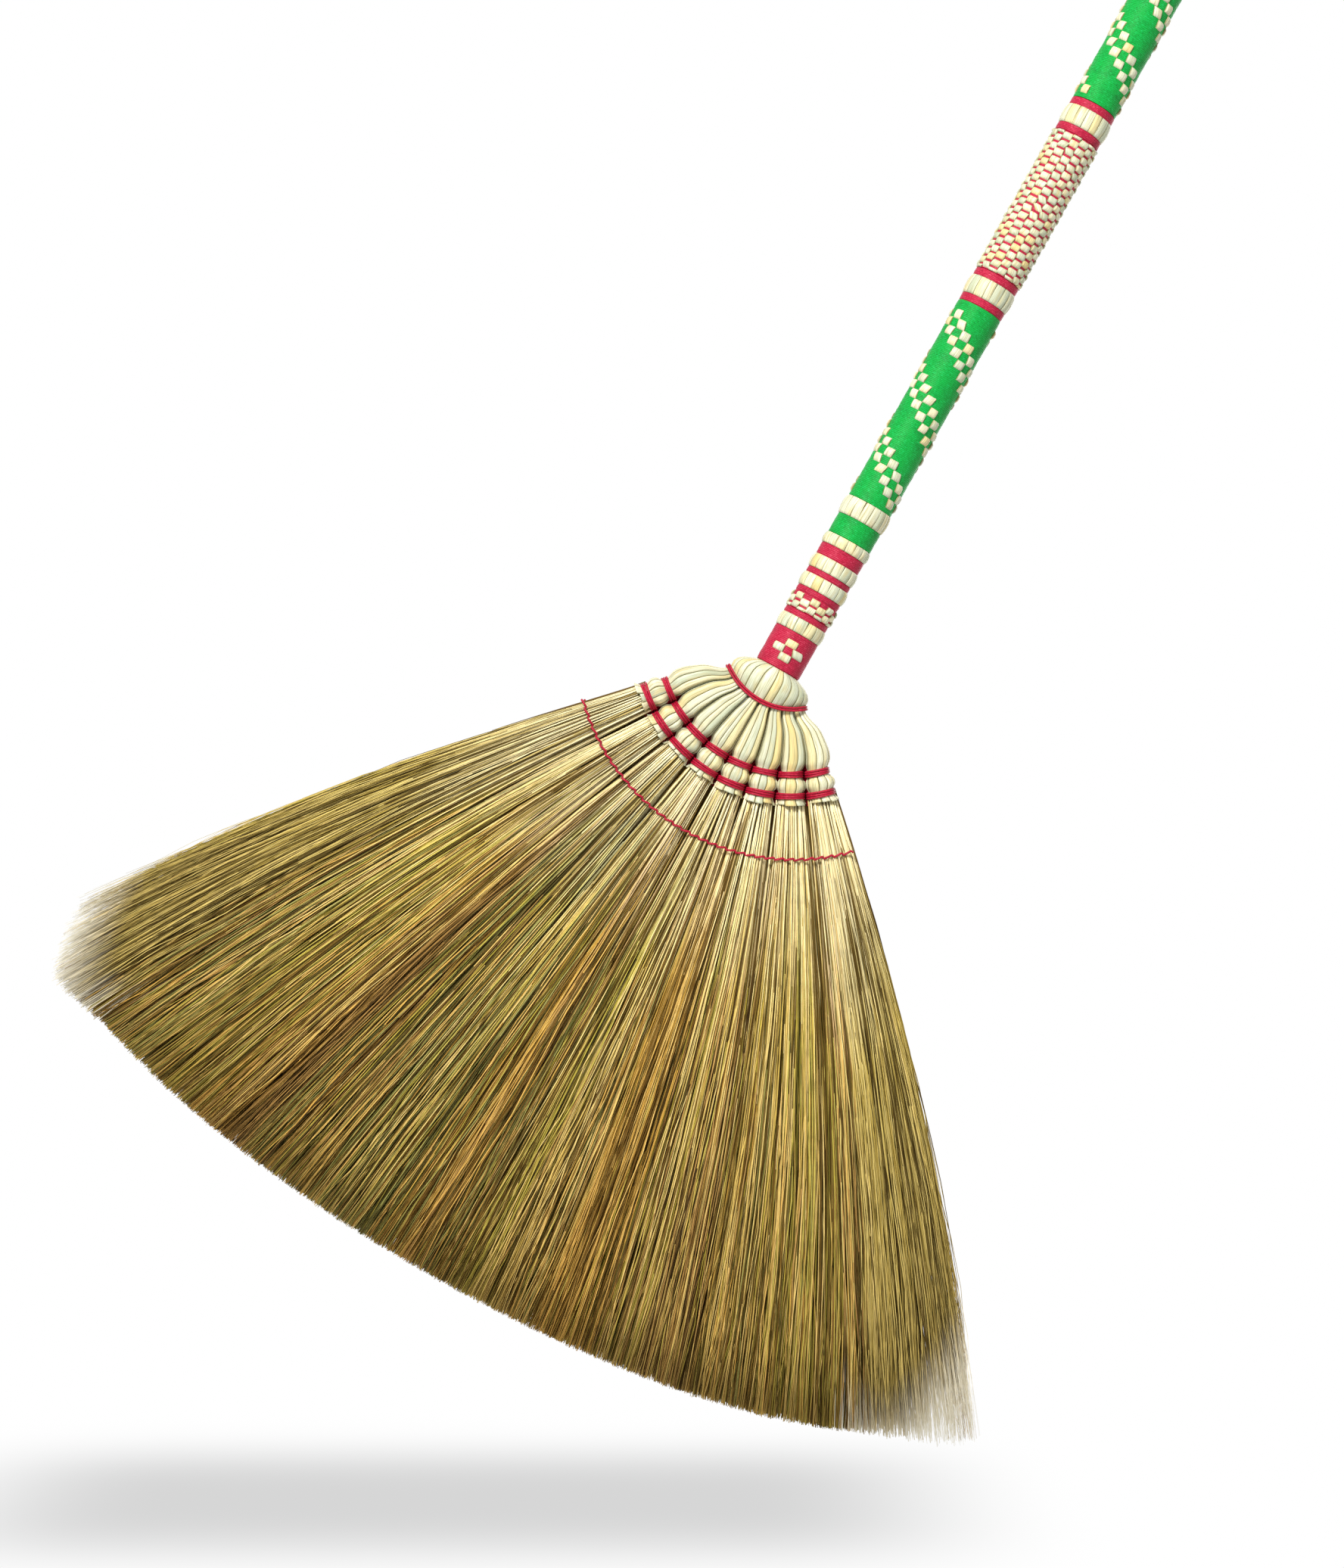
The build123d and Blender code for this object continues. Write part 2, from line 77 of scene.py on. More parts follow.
# Floats of reed over the windings
check_row = 4.2 * MM
check_foot = 2.2 * MM
check_rows = 23
check_period = 8
check_half_share = 0.53
weave_gap = 0.85 * MM
weave_seat = 0.1 * MM
least_float = 0.6 * MM
wide_float_share = 0.56
narrow_float_share = 0.5
flower_half_w = 2.9 * MM
flower_half_h = 1.89 * MM
flower_step_w = 5.0 * MM
flower_step_h = 3.5 * MM
float_t = 0.95 * MM
float_sunk = 0.25 * MM
float_back = 0.1 * MM
float_across = np.array([-1, -0.86, -0.45, 0, 0.45, 0.86, 1])
float_along = np.array([-1, -0.86, -0.45, 0.45, 0.86, 1])

# Sizes of the head, laid out in circles round an apex inside the handle
apex_mm = 15.1
apex_z = collar_top_z + apex_mm * MM
bundles = 8
row1_mm = 62.0
row2_mm = 72.0
row_angle = 45.0

# A bundle's depths in mm at its two bindings and at the neck, and the gap beside its waists, which are
# nearly ellipses, with a power of 2 for a true one
row1_depth = 15.8
row2_depth = 16.6
neck_depth = 20.4
waist_gap = 2.0
waist_power = 2.4

# Outline of a bundle in mm and degrees: distance from the apex, half angle of the fan, gap beside it,
# depth, how far the neck draws in the outer bundles, and how square its section is
outline = np.array([
    (27.6, 38.5, 0.1, neck_depth, 1.0, 5.0),
    (29.8, 38.5, 0.1, neck_depth, 1.0, 6.0),
    (34.2, 38.5, 0.1, neck_depth, 1.0, 7.0),
    (42.0, 46.0, 0.1, 20.2, 0.5, 7.0),
    (52.0, 47.3, 0.1, 19.6, 0.25, 5.4),
    (57.3, 46.8, 0.2, 18.4, 0.1, 3.6),
    (59.8, row_angle, waist_gap, row1_depth, 0.0, waist_power),
    (64.2, row_angle, waist_gap, row1_depth, 0.0, waist_power),
    (65.4, 46.0, 0.4, 17.4, 0.0, 3.4),
    (67.0, 46.2, 0.3, 17.9, 0.0, 3.8),
    (68.6, 46.0, 0.4, 17.7, 0.0, 3.4),
    (69.8, row_angle, waist_gap, row2_depth, 0.0, waist_power),
    (74.2, row_angle, waist_gap, row2_depth, 0.0, waist_power),
    (76.5, 46.2, 0.6, 18.6, 0.0, 2.6),
])

# How far each column of the outline is rounded, in mm, and how much of a section's width is front or back
rounding_mm = {1: 11.0, 2: 1.6, 3: 1.6, 4: 6.0, 5: 2.4}
flat_share = 0.93

# Reed strips of a sheath, in mm
strip_across = np.array([-1, -0.8, -0.4, 0, 0.4, 0.8, 1])
sheath_along = np.linspace(0, 1, 52)
sheath_strips = (3, 2, 3, 2)
sheath_slit = 0.995
sheath_start = 28.0
sheath_end = 76.0
sheath_crown_share = 0.0095
sheath_inset = 0.35
sheath_back_inset = 0.85
pinch_share = 0.65
pinch_half_w = 2.2

# Outline of the collar in mm: drop below its top, half width and half depth
collar_drop = np.array([0.0, 0.7, 2.2, 4.0, 6.0, 9.0, 13.0, 18.0])
collar_half_w = np.array([11.0, 12.6, 15.8, 18.3, 19.5, 19.9, 19.8, 19.6])
collar_half_d = np.array([11.0, 11.9, 12.7, 13.3, 13.6, 13.5, 13.1, 12.5])
collar_strips = 26
collar_slit = 0.997
collar_along = np.linspace(0, 1, 24)
collar_lip = 0.1
collar_foot_half_w = 19.7
collar_end = 31.6
collar_crown = 0.5
collar_inset = 0.3
collar_back_inset = 0.9
tied_in_w = 0.5
tied_in_d = 1.9

# Cord round the bundles and the neck, and the wire tie inside
cord_r = 0.55 * MM
cord_pitch = 1.0 * MM
cord_turns = 3
crossing_rows = 10
crossing_reach = 2.0 * MM
neck_r = 32.0 * MM
neck_turns = 2
neck_pitch = 1.15 * MM
neck_angle = 40.4
tie_r = 24.9 * MM
tie_turns = 3
tie_pitch = 1.3 * MM
tie_angle = 37.5
tie_half_depth = 9.9 * MM
tie_wire_r = 0.4 * MM

# Grass, from the last binding to the trimmed edge, which is an ellipse
trim_half_w = 245.0 * MM
trim_half_h = 74.2 * MM
trim_below_apex = 263.1 * MM
chord_angle = 40.5
root_r = 71.0 * MM
root_spread = 0.87
tip_spread = 1.02
root_half_depth = 7.3 * MM
tip_half_depth = 9.4 * MM
bow = 8.2 * MM
bow_length = 293.0 * MM
lean_in_most = 8.5 * MM
lean_out_most = 6.0 * MM

# Stems are pale stalks from the binding. The dark ones lie in a gap beside the bundle, dark as painted shade
# between the bundles.
# Strands are thicker than real ones, so that the fan is full with as many as one model may have.
stem_columns = 16
stem_layers = 8
layers_to_middle = 3.7
stem_stations = 14
stem_r = (0.32 * MM, 0.54 * MM)
stem_thinning = 0.85
stem_reach = 0.9
stem_scatter = 0.035
layer_scatter = 0.07
stem_tip_scatter = 0.055
stem_light = 0.98
stem_wavers = ((0.7 * MM, (0.5, 1.6)), (0.28 * MM, (3.0, 7.0)))
gap_stems = 26
gap_stem_r = 0.6 * MM
gap_reach = 0.35
gap_columns = (0.92, 1.14)
gap_half_layer = 0.6

# Fibres split off the stems and reach the edge in locks. Near the fan's corners they end unevenly.
fibres = 3070
fibre_stations = 8
fibre_r = (0.18 * MM, 0.36 * MM)
fibre_scatter = 0.03
fibre_tip_scatter = 0.11
fibre_light = 0.53
fibre_wavers = ((1.5 * MM, (0.8, 3.0)), (0.35 * MM, (3.0, 5.0)))
latest_start = 0.52
short_fibres = 0.16
short_reach = (0.7, 0.98)
trim_scatter = 0.004
locks = 13
lock_scatter = 0.09
lock_pull = (0.1, 0.88)
corner_from = 0.8
corner_loss = 0.22
right_corner_gain = 0.045
left_corner_at = [0.78, 0.9, 1.0]
left_corner_gain = [0.0, 0.026, -0.045]
bleach_from = 0.74
bleach_delay = 0.2

# Streaks of colour, as rates across half the fan
broad_streak_rate = 5.5
narrow_streak_rate = 27.0
# Furrows are narrow dark lines of painted shade between strands
furrow_rate = 62.0
furrow_below = -0.22

# Stitches through the fan
stitch_r = 101.0 * MM
stitches = 35
stitch_stations = 10
stitch_share = 0.85
stitch_slant = 1.1 * MM
stitch_lift = 0.7 * MM
stitch_half_depth = 7.4 * MM
stitch_thread_r = 0.5 * MM


# Colours and materials

def paint(code):
    """An sRGB hex colour as linear light."""
    channels = [int(code[place:place + 2], 16) / 255 for place in (1, 3, 5)]
    linear = [c / 12.92 if c <= 0.04045 else ((c + 0.055) / 1.055) ** 2.4 for c in channels]
    return (*linear, 1.0)


def connect(tree, node, inputs):
    """Sets a node's inputs, or links them to a socket or to another node's first output in use."""
    for key, value in inputs.items():
        if isinstance(value, bpy.types.Node):
            value = next(socket for socket in value.outputs if socket.enabled)
        if isinstance(value, bpy.types.NodeSocket):
            tree.links.new(value, node.inputs[key])
        else:
            node.inputs[key].default_value = value


def add_node(tree, kind, inputs, stops=None, **settings):
    """A node with its settings, values and links, and its (place, hex) stops if it is a colour ramp."""
    made = tree.nodes.new(kind)
    for name, value in settings.items():
        setattr(made, name, value)
    connect(tree, made, inputs)
    if stops:
        elements = made.color_ramp.elements
        while len(elements) < len(stops):
            elements.new(0.5)
        for element, (place, code) in zip(elements, stops):
            element.position = place
            element.color = paint(code)
    return made


def new_material(name):
    """An empty node material, its tree and its surface shader."""
    material = bpy.data.materials.new(name)
    material.use_nodes = True
    tree = material.node_tree
    return material, tree, tree.nodes["Principled BSDF"]


def grains(tree, place, per_mm, detail=3.0, rough=0.55):
    """Noise whose grains are as many to the millimetre as asked along X, Y and Z."""
    scaled = add_node(
        tree, "ShaderNodeMapping", {"Vector": place, "Scale": [rate / MM for rate in per_mm]}
    )
    return add_node(
        tree, "ShaderNodeTexNoise", {"Vector": scaled, "Scale": 1.0, "Detail": detail, "Roughness": rough}
    )


def dyed_thread(name, deep, middle, glint_colour, wound):
    """Dyed thread, rayon or cotton: silky, with bright flecks of painted glint, dark specks of painted shade
    in its pits, and painted shade in the grooves between wound turns.
    """
    material, tree, shader = new_material(name)
    place = add_node(tree, "ShaderNodeTexCoord", {}).outputs["Object"]
    fleck = grains(tree, place, (0.85, 0.85, 1.5), rough=0.75)
    patch = grains(tree, place, (0.11, 0.11, 0.2))
    dull = add_node(
        tree, "ShaderNodeMapRange",
        {"Value": patch, "From Min": 0.3, "From Max": 0.5, "To Min": 0.3, "To Max": 0.0},
    )
    body = add_node(tree, "ShaderNodeMix", {0: dull, 6: paint(middle), 7: paint(deep)}, data_type="RGBA")
    # Painted glint: bright flecks where the grain is high
    painted_glint = add_node(tree, "ShaderNodeMapRange", {"Value": fleck, "From Min": 0.54, "From Max": 0.7})
    flecked = add_node(tree, "ShaderNodeMix", {0: painted_glint, 6: body, 7: paint(glint_colour)}, data_type="RGBA")
    # Painted shade: dark specks in the low pits of the grain
    pit_shade = add_node(
        tree, "ShaderNodeMapRange",
        {"Value": fleck, "From Min": 0.3, "From Max": 0.44, "To Min": 0.75, "To Max": 0.0},
    )
    colour = add_node(tree, "ShaderNodeMix", {0: pit_shade, 6: flecked, 7: paint(deep)}, data_type="RGBA")
    relief = fleck
    if wound:
        sway = add_node(tree, "ShaderNodeMath", {0: patch, 1: 3.0}, operation="MULTIPLY")
        split = add_node(tree, "ShaderNodeSeparateXYZ", {"Vector": place})
        height = add_node(
            tree, "ShaderNodeMath", {0: split.outputs["Z"], 1: 2 * pi / thread_turn, 2: sway},
            operation="MULTIPLY_ADD",
        )
        turns = add_node(tree, "ShaderNodeMath", {0: height}, operation="SINE")
        # Painted shade in the grooves between the wound turns
        groove_shade = add_node(
            tree, "ShaderNodeMapRange",
            {"Value": turns, "From Min": -1.0, "From Max": -0.3, "To Min": 0.5, "To Max": 0.0},
        )
        colour = add_node(tree, "ShaderNodeMix", {0: groove_shade, 6: colour, 7: paint(deep)}, data_type="RGBA")
        relief = add_node(tree, "ShaderNodeMath", {0: fleck, 1: 0.8, 2: turns}, operation="MULTIPLY_ADD")
    bump = add_node(tree, "ShaderNodeBump", {"Height": relief, "Strength": 0.6, "Distance": 0.12 * MM})
    connect(tree, shader, {
        "Base Color": colour, "Normal": bump, "Roughness": 0.5, "Specular IOR Level": 0.22,
    })
    return material


def dried_reed():
    """Dried reed, split and flattened: each strip has its own tone, fine fibres and stains, and edges
    darkened by painted shade.
    """
    material, tree, shader = new_material("dried_reed")
    split = add_node(
        tree, "ShaderNodeSeparateXYZ", {"Vector": add_node(tree, "ShaderNodeUVMap", {}, uv_map="OFBake")}
    )
    slot = add_node(
        tree, "ShaderNodeMath", {0: split.outputs["X"], 1: float(strip_slots)}, operation="MULTIPLY"
    )
    whole = add_node(tree, "ShaderNodeMath", {0: slot}, operation="FLOOR")
    across = add_node(tree, "ShaderNodeMath", {0: slot}, operation="FRACT")
    tone = add_node(tree, "ShaderNodeTexWhiteNoise", {"W": whole}, noise_dimensions="1D")
    along = add_node(tree, "ShaderNodeCombineXYZ", {"X": slot, "Y": split.outputs["Y"]})
    # A strip is about 4 mm wide, so 16 grains across it are fibres of a quarter of a millimetre
    fine = add_node(tree, "ShaderNodeMapping", {"Vector": along, "Scale": (16.0, 3.0, 1.0)})
    fibre = add_node(tree, "ShaderNodeTexNoise", {"Vector": fine, "Scale": 1.0, "Detail": 3.0})
    wide = add_node(tree, "ShaderNodeMapping", {"Vector": along, "Scale": (2.2, 5.0, 1.0)})
    cloud = add_node(tree, "ShaderNodeTexNoise", {"Vector": wide, "Scale": 1.0, "Detail": 2.0})
    blot = add_node(
        tree, "ShaderNodeMapping", {"Vector": along, "Location": (9.0, 4.0, 2.0), "Scale": (1.3, 3.2, 1.0)}
    )
    stain = add_node(tree, "ShaderNodeTexNoise", {"Vector": blot, "Scale": 1.0, "Detail": 2.0})
    body = add_node(tree, "ShaderNodeValToRGB", {"Fac": tone}, stops=[
        (0.0, "#BDC4AA"), (0.25, "#CFD2B8"), (0.5, "#E0DDC0"),
        (0.8, "#E6DEBA"), (0.9, "#E4D49C"), (1.0, "#DDBF78"),
    ])
    cloudy = add_node(tree, "ShaderNodeValToRGB", {"Fac": cloud}, stops=[(0.4, "#000000"), (0.7, "#B0B0B0")])
    clouded = add_node(tree, "ShaderNodeMix", {0: cloudy, 6: body, 7: paint("#A9AF8C")}, data_type="RGBA")
    spots = add_node(tree, "ShaderNodeValToRGB", {"Fac": stain}, stops=[(0.52, "#000000"), (0.66, "#A8A8A8")])
    stained = add_node(tree, "ShaderNodeMix", {0: spots, 6: clouded, 7: paint("#D9B765")}, data_type="RGBA")
    lines = add_node(tree, "ShaderNodeValToRGB", {"Fac": fibre}, stops=[(0.44, "#000000"), (0.6, "#C4C4C4")])
    lined = add_node(tree, "ShaderNodeMix", {0: lines, 6: stained, 7: paint("#8F8756")}, data_type="RGBA")
    # Painted shade: each strip darkens at its edges, where it meets the next one
    middle = add_node(tree, "ShaderNodeMath", {0: across, 1: 0.5}, operation="SUBTRACT")
    reach = add_node(tree, "ShaderNodeMath", {0: middle}, operation="ABSOLUTE")
    seam_shade = add_node(
        tree, "ShaderNodeMapRange", {"Value": reach, "From Min": 0.41, "From Max": 0.48, "To Max": 0.9}
    )
    colour = add_node(tree, "ShaderNodeMix", {0: seam_shade, 6: lined, 7: paint("#756C3C")}, data_type="RGBA")
    bump = add_node(tree, "ShaderNodeBump", {"Height": fibre, "Strength": 0.5, "Distance": 0.12 * MM})
    connect(tree, shader, {
        "Base Color": colour, "Normal": bump, "Roughness": 0.44, "Specular IOR Level": 0.35,
    })
    return material


def broom_grass():
    """Dried broom grass: straw, olive, brown, golden, grey-green, and straw bleached at its tips."""
    material, tree, shader = new_material("dried_broom_grass")
    split = add_node(
        tree, "ShaderNodeSeparateXYZ", {"Vector": add_node(tree, "ShaderNodeUVMap", {}, uv_map="OFBake")}
    )
    length = split.outputs["Y"]
    slot = add_node(
        tree, "ShaderNodeMath", {0: split.outputs["X"], 1: float(grass_slots)}, operation="MULTIPLY"
    )
    whole = add_node(tree, "ShaderNodeMath", {0: slot}, operation="FLOOR")
    tone = add_node(
        tree, "ShaderNodeMath", {0: whole, 1: 1 / grass_slots, 2: 0.5 / grass_slots}, operation="MULTIPLY_ADD"
    )
    root_stops = []
    tip_stops = []
    step = 1 / len(grass_casts)
    for cast, (dark, middle, light, tip) in enumerate(grass_casts):
        low = cast / len(grass_casts)
        root_stops += [(low + 0.04 * step, dark), (low + 0.5 * step, middle), (low + 0.96 * step, light)]
        tip_stops += [(low + 0.04 * step, dark), (low + 0.6 * step, tip), (low + 0.96 * step, tip)]
    body = add_node(tree, "ShaderNodeValToRGB", {"Fac": tone}, stops=root_stops)
    end_colour = add_node(tree, "ShaderNodeValToRGB", {"Fac": tone}, stops=tip_stops)
    towards_tip = add_node(
        tree, "ShaderNodeMapRange", {"Value": length, "From Min": 0.3, "From Max": 1.0, "To Max": 0.85}
    )
    aged = add_node(tree, "ShaderNodeMix", {0: towards_tip, 6: body, 7: end_colour}, data_type="RGBA")

    # Near the binding the stalks are paler: partly their own colour, partly painted light that lifts the
    # shade of the dense grass there
    within_cast = add_node(
        tree, "ShaderNodeMath", {0: tone, 1: float(len(grass_casts))}, operation="MULTIPLY"
    )
    shade = add_node(tree, "ShaderNodeMath", {0: within_cast}, operation="FRACT")
    pale = add_node(
        tree, "ShaderNodeValToRGB", {"Fac": shade},
        stops=[(0.1, "#6E5624"), (0.36, "#EAD48E"), (0.75, "#FFF8D4")],
    )
    paler_and_lit_near_binding = add_node(
        tree, "ShaderNodeMapRange", {"Value": length, "From Max": 0.36, "To Min": 0.75, "To Max": 0.0}
    )
    dry = add_node(tree, "ShaderNodeMix", {0: paler_and_lit_near_binding, 6: aged, 7: pale}, data_type="RGBA")

    spot = add_node(tree, "ShaderNodeCombineXYZ", {"X": whole, "Y": length})
    scaled = add_node(tree, "ShaderNodeMapping", {"Vector": spot, "Scale": (3.7, 40.0, 1.0)})
    fleck = add_node(tree, "ShaderNodeTexNoise", {"Vector": scaled, "Scale": 1.0, "Detail": 3.0})
    specks = add_node(
        tree, "ShaderNodeValToRGB", {"Fac": fleck}, stops=[(0.44, "#000000"), (0.66, "#9A9A9A")]
    )
    flecked = add_node(tree, "ShaderNodeMix", {0: specks, 6: dry, 7: paint("#5F4A22")}, data_type="RGBA")

    # The last cast is bleached nearly white at its tips
    last_cast = add_node(tree, "ShaderNodeMath", {0: tone, 1: 1 - step}, operation="GREATER_THAN")
    near_tip = add_node(
        tree, "ShaderNodeMapRange", {"Value": length, "From Min": 0.8, "From Max": 0.94},
        interpolation_type="SMOOTHSTEP",
    )
    bleached = add_node(tree, "ShaderNodeMath", {0: last_cast, 1: near_tip}, operation="MULTIPLY")
    colour = add_node(tree, "ShaderNodeMix", {0: bleached, 6: flecked, 7: paint("#FFF8E2")}, data_type="RGBA")
    connect(tree, shader, {"Base Color": colour, "Roughness": 0.6, "Specular IOR Level": 0.12})
    return material


def dried_stalks():
    """Dried grass stalks packed side by side: long straw and olive streaks."""
    material, tree, shader = new_material("dried_grass_stalks")
    place = add_node(tree, "ShaderNodeTexCoord", {}).outputs["Object"]
    streak = grains(tree, place, (0.9, 0.9, 0.03))
    body = add_node(
        tree, "ShaderNodeValToRGB", {"Fac": streak},
        stops=[(0.3, "#6B5A2A"), (0.5, "#B89E54"), (0.7, "#DCC888")],
    )
    bump = add_node(tree, "ShaderNodeBump", {"Height": streak, "Strength": 0.5, "Distance": 0.3 * MM})
    connect(tree, shader, {"Base Color": body, "Normal": bump, "Roughness": 0.6})
    return material


def turned_beech():
    """Turned beech, oiled by hands: straight grain along the stick and short dark pores."""
    material, tree, shader = new_material("turned_beech")
    place = add_node(tree, "ShaderNodeTexCoord", {}).outputs["Object"]
    grain = grains(tree, place, (0.5, 0.5, 0.015), detail=4.0)
    pore = grains(tree, place, (3.0, 3.0, 0.25), detail=2.0)
    body = add_node(
        tree, "ShaderNodeValToRGB", {"Fac": grain},
        stops=[(0.3, "#A9793F"), (0.5, "#C79A5E"), (0.7, "#D8B27A")],
    )
    pores = add_node(tree, "ShaderNodeValToRGB", {"Fac": pore}, stops=[(0.6, "#000000"), (0.75, "#888888")])
    colour = add_node(tree, "ShaderNodeMix", {0: pores, 6: body, 7: paint("#7E5527")}, data_type="RGBA")
    bump = add_node(tree, "ShaderNodeBump", {"Height": pore, "Strength": 0.3, "Distance": 0.1 * MM})
    connect(tree, shader, {"Base Color": colour, "Normal": bump, "Roughness": 0.5})
    return material


def galvanised_wire():
    """Galvanised tie wire: a dull zinc skin with faint mottling."""
    material, tree, shader = new_material("galvanised_wire")
    place = add_node(tree, "ShaderNodeTexCoord", {}).outputs["Object"]
    mottle = grains(tree, place, (1.5, 1.5, 1.5))
    skin = add_node(tree, "ShaderNodeValToRGB", {"Fac": mottle}, stops=[(0.3, "#8E9094"), (0.7, "#B9BBBE")])
    connect(tree, shader, {"Base Color": skin, "Metallic": 1.0, "Roughness": 0.42})
    return material


# A slot is one stretch of the map's width, which gives a strip or a strand its tone.
# Casts of grass: dark, middle and light shades, and the shade of the tip.
strip_slots = 64
grass_shades = 12
grass_casts = [
    ("#5A4416", "#D8B95A", "#F4DC90", "#CDA858"),
    ("#38340C", "#AC9C36", "#E0D068", "#AE9840"),
    ("#33220C", "#8C6830", "#CAA05C", "#AC8448"),
    ("#5E4212", "#CC9F42", "#EFCB78", "#CF9F4C"),
    ("#2F3312", "#7C7A3A", "#AEA962", "#8F8A48"),
    ("#4A3A14", "#B09844", "#DEC878", "#C2A85C"),
]
grass_slots = grass_shades * len(grass_casts)
green = dyed_thread("green_rayon_thread", "#00561F", "#009C38", "#1CB95E", True)
crimson = dyed_thread("crimson_rayon_thread", "#700A1E", "#B0183A", "#CE4A62", True)
crimson_cord = dyed_thread("crimson_cotton_cord", "#5E0616", "#A00E2C", "#C02C4A", False)
reed = dried_reed()
grass = broom_grass()
stalks = dried_stalks()
beech = turned_beech()
zinc = galvanised_wire()


# Pieces and how they are finished

def dress(piece, material, node):
    """Gives a piece its material, attaches it to the root body, and puts it in place of a CAD node."""
    piece.data.materials.clear()
    piece.data.materials.append(material)
    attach(piece, "root")
    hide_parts(node)


def new_piece(name, points, faces, spots=None):
    """A smooth mesh object from points and faces, with its own map if it has one."""
    mesh = bpy.data.meshes.new(name)
    mesh.vertices.add(len(points))
    mesh.vertices.foreach_set("co", points.astype(np.float32).ravel())
    sides = faces.shape[1]
    mesh.loops.add(faces.size)
    mesh.loops.foreach_set("vertex_index", faces.astype(np.int32).ravel())
    mesh.polygons.add(len(faces))
    mesh.polygons.foreach_set("loop_start", np.arange(0, faces.size, sides, dtype=np.int32))
    mesh.polygons.foreach_set("loop_total", np.full(len(faces), sides, dtype=np.int32))
    mesh.polygons.foreach_set("use_smooth", np.ones(len(faces), dtype=bool))
    mesh.update(calc_edges=True)
    if spots is not None:
        layer = mesh.uv_layers.new(name="OFBake")
        layer.data.foreach_set("uv", spots[faces.ravel()].astype(np.float32).ravel())
    mesh.validate()
    piece = bpy.data.objects.new(name, mesh)
    bpy.context.collection.objects.link(piece)
    return piece


def slab_piece(name, outer, inner, spots):
    """Closed slabs from lists of outer and inner grids of points, one slab each, with their map."""
    outer = np.array(outer)
    inner = np.array(inner)
    spots = np.array(spots)
    count, rows, columns = outer.shape[:3]
    points = np.stack([outer, inner], axis=1)
    index = np.arange(count * 2 * rows * columns).reshape(count, 2, rows, columns)
    top = index[:, 0]
    low = index[:, 1]

    def quads(a, b, c, d):
        return np.stack([a, b, c, d], axis=-1).reshape(-1, 4)

    faces = [
        quads(top[:, :-1, :-1], top[:, :-1, 1:], top[:, 1:, 1:], top[:, 1:, :-1]),
        quads(low[:, :-1, :-1], low[:, 1:, :-1], low[:, 1:, 1:], low[:, :-1, 1:]),
        quads(top[:, 0, :-1], low[:, 0, :-1], low[:, 0, 1:], top[:, 0, 1:]),
        quads(top[:, -1, :-1], top[:, -1, 1:], low[:, -1, 1:], low[:, -1, :-1]),
        quads(top[:, :-1, 0], top[:, 1:, 0], low[:, 1:, 0], low[:, :-1, 0]),
        quads(top[:, :-1, -1], low[:, :-1, -1], low[:, 1:, -1], top[:, 1:, -1]),
    ]
    flat_spots = np.stack([spots, spots], axis=1).reshape(-1, 2)
    return new_piece(name, points.reshape(-1, 3), np.concatenate(faces), flat_spots)


def join(name, parts):
    """Several pieces made into one."""
    bpy.ops.object.select_all(action="DESELECT")
    for part in parts:
        part.select_set(True)
    bpy.context.view_layer.objects.active = parts[0]
    if len(parts) > 1:
        bpy.ops.object.join()
    parts[0].name = name
    parts[0].select_set(False)
    return parts[0]


def strip_spots(across, along, slot, start, length):
    """Map places of one strip: its slot across and a stretch of the reed along."""
    u = (slot + 0.5 + across[None, :] * 0.499) / strip_slots + 0 * along[:, None]
    v = start + length * along[:, None] + 0 * across[None, :]
    return np.stack([u, v], axis=-1)


def uneven_edges(count, least, most):
    """Edges of strips of uneven width side by side, from 0 to 1."""
    widths = chance.uniform(least, most, count)
    return np.concatenate([[0], np.cumsum(widths)]) / widths.sum()


def on_handle(radius, turn, z):
    """Points on the handle from arrays of radius, turn and height."""
    return np.stack([radius * np.cos(turn), radius * np.sin(turn), z + 0 * radius], axis=-1)


# The handle's bands, from the collar up

def band_list():
    """Kind and height in mm of every band along the handle."""
    flank = [("red", 3.9), ("ring", 9.2), ("red", 3.9)]
    long_weave = [("weave", 73.5)]
    long_green = [("green", 103.8)]
    foot = [
        ("red", 18.6), ("ring", 6.6), ("red", 3.0), ("weave", 8.4), ("red", 3.0), ("ring", 6.6),
        ("red", 3.0), ("ring", 6.6), ("red", 6.1), ("ring", 5.3), ("green", 10.2), ("ring", 9.2),
    ]
    return foot + (long_green + flank + long_weave + flank) * 2 + long_green + flank


bands = []
band_foot = collar_top_z
for band_kind, band_height in band_list():
    band_top = band_foot + band_height * MM
    bands.append((band_kind, band_foot, band_top))
    band_foot = band_top


def node_bands(node, kind):
    """Foot and top of the bands of one kind that lie inside a node's box."""
    low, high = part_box(node)
    near = 0.5 * MM
    return [(a, b) for k, a, b in bands if k == kind and a > low.z - near and b < high.z + near]


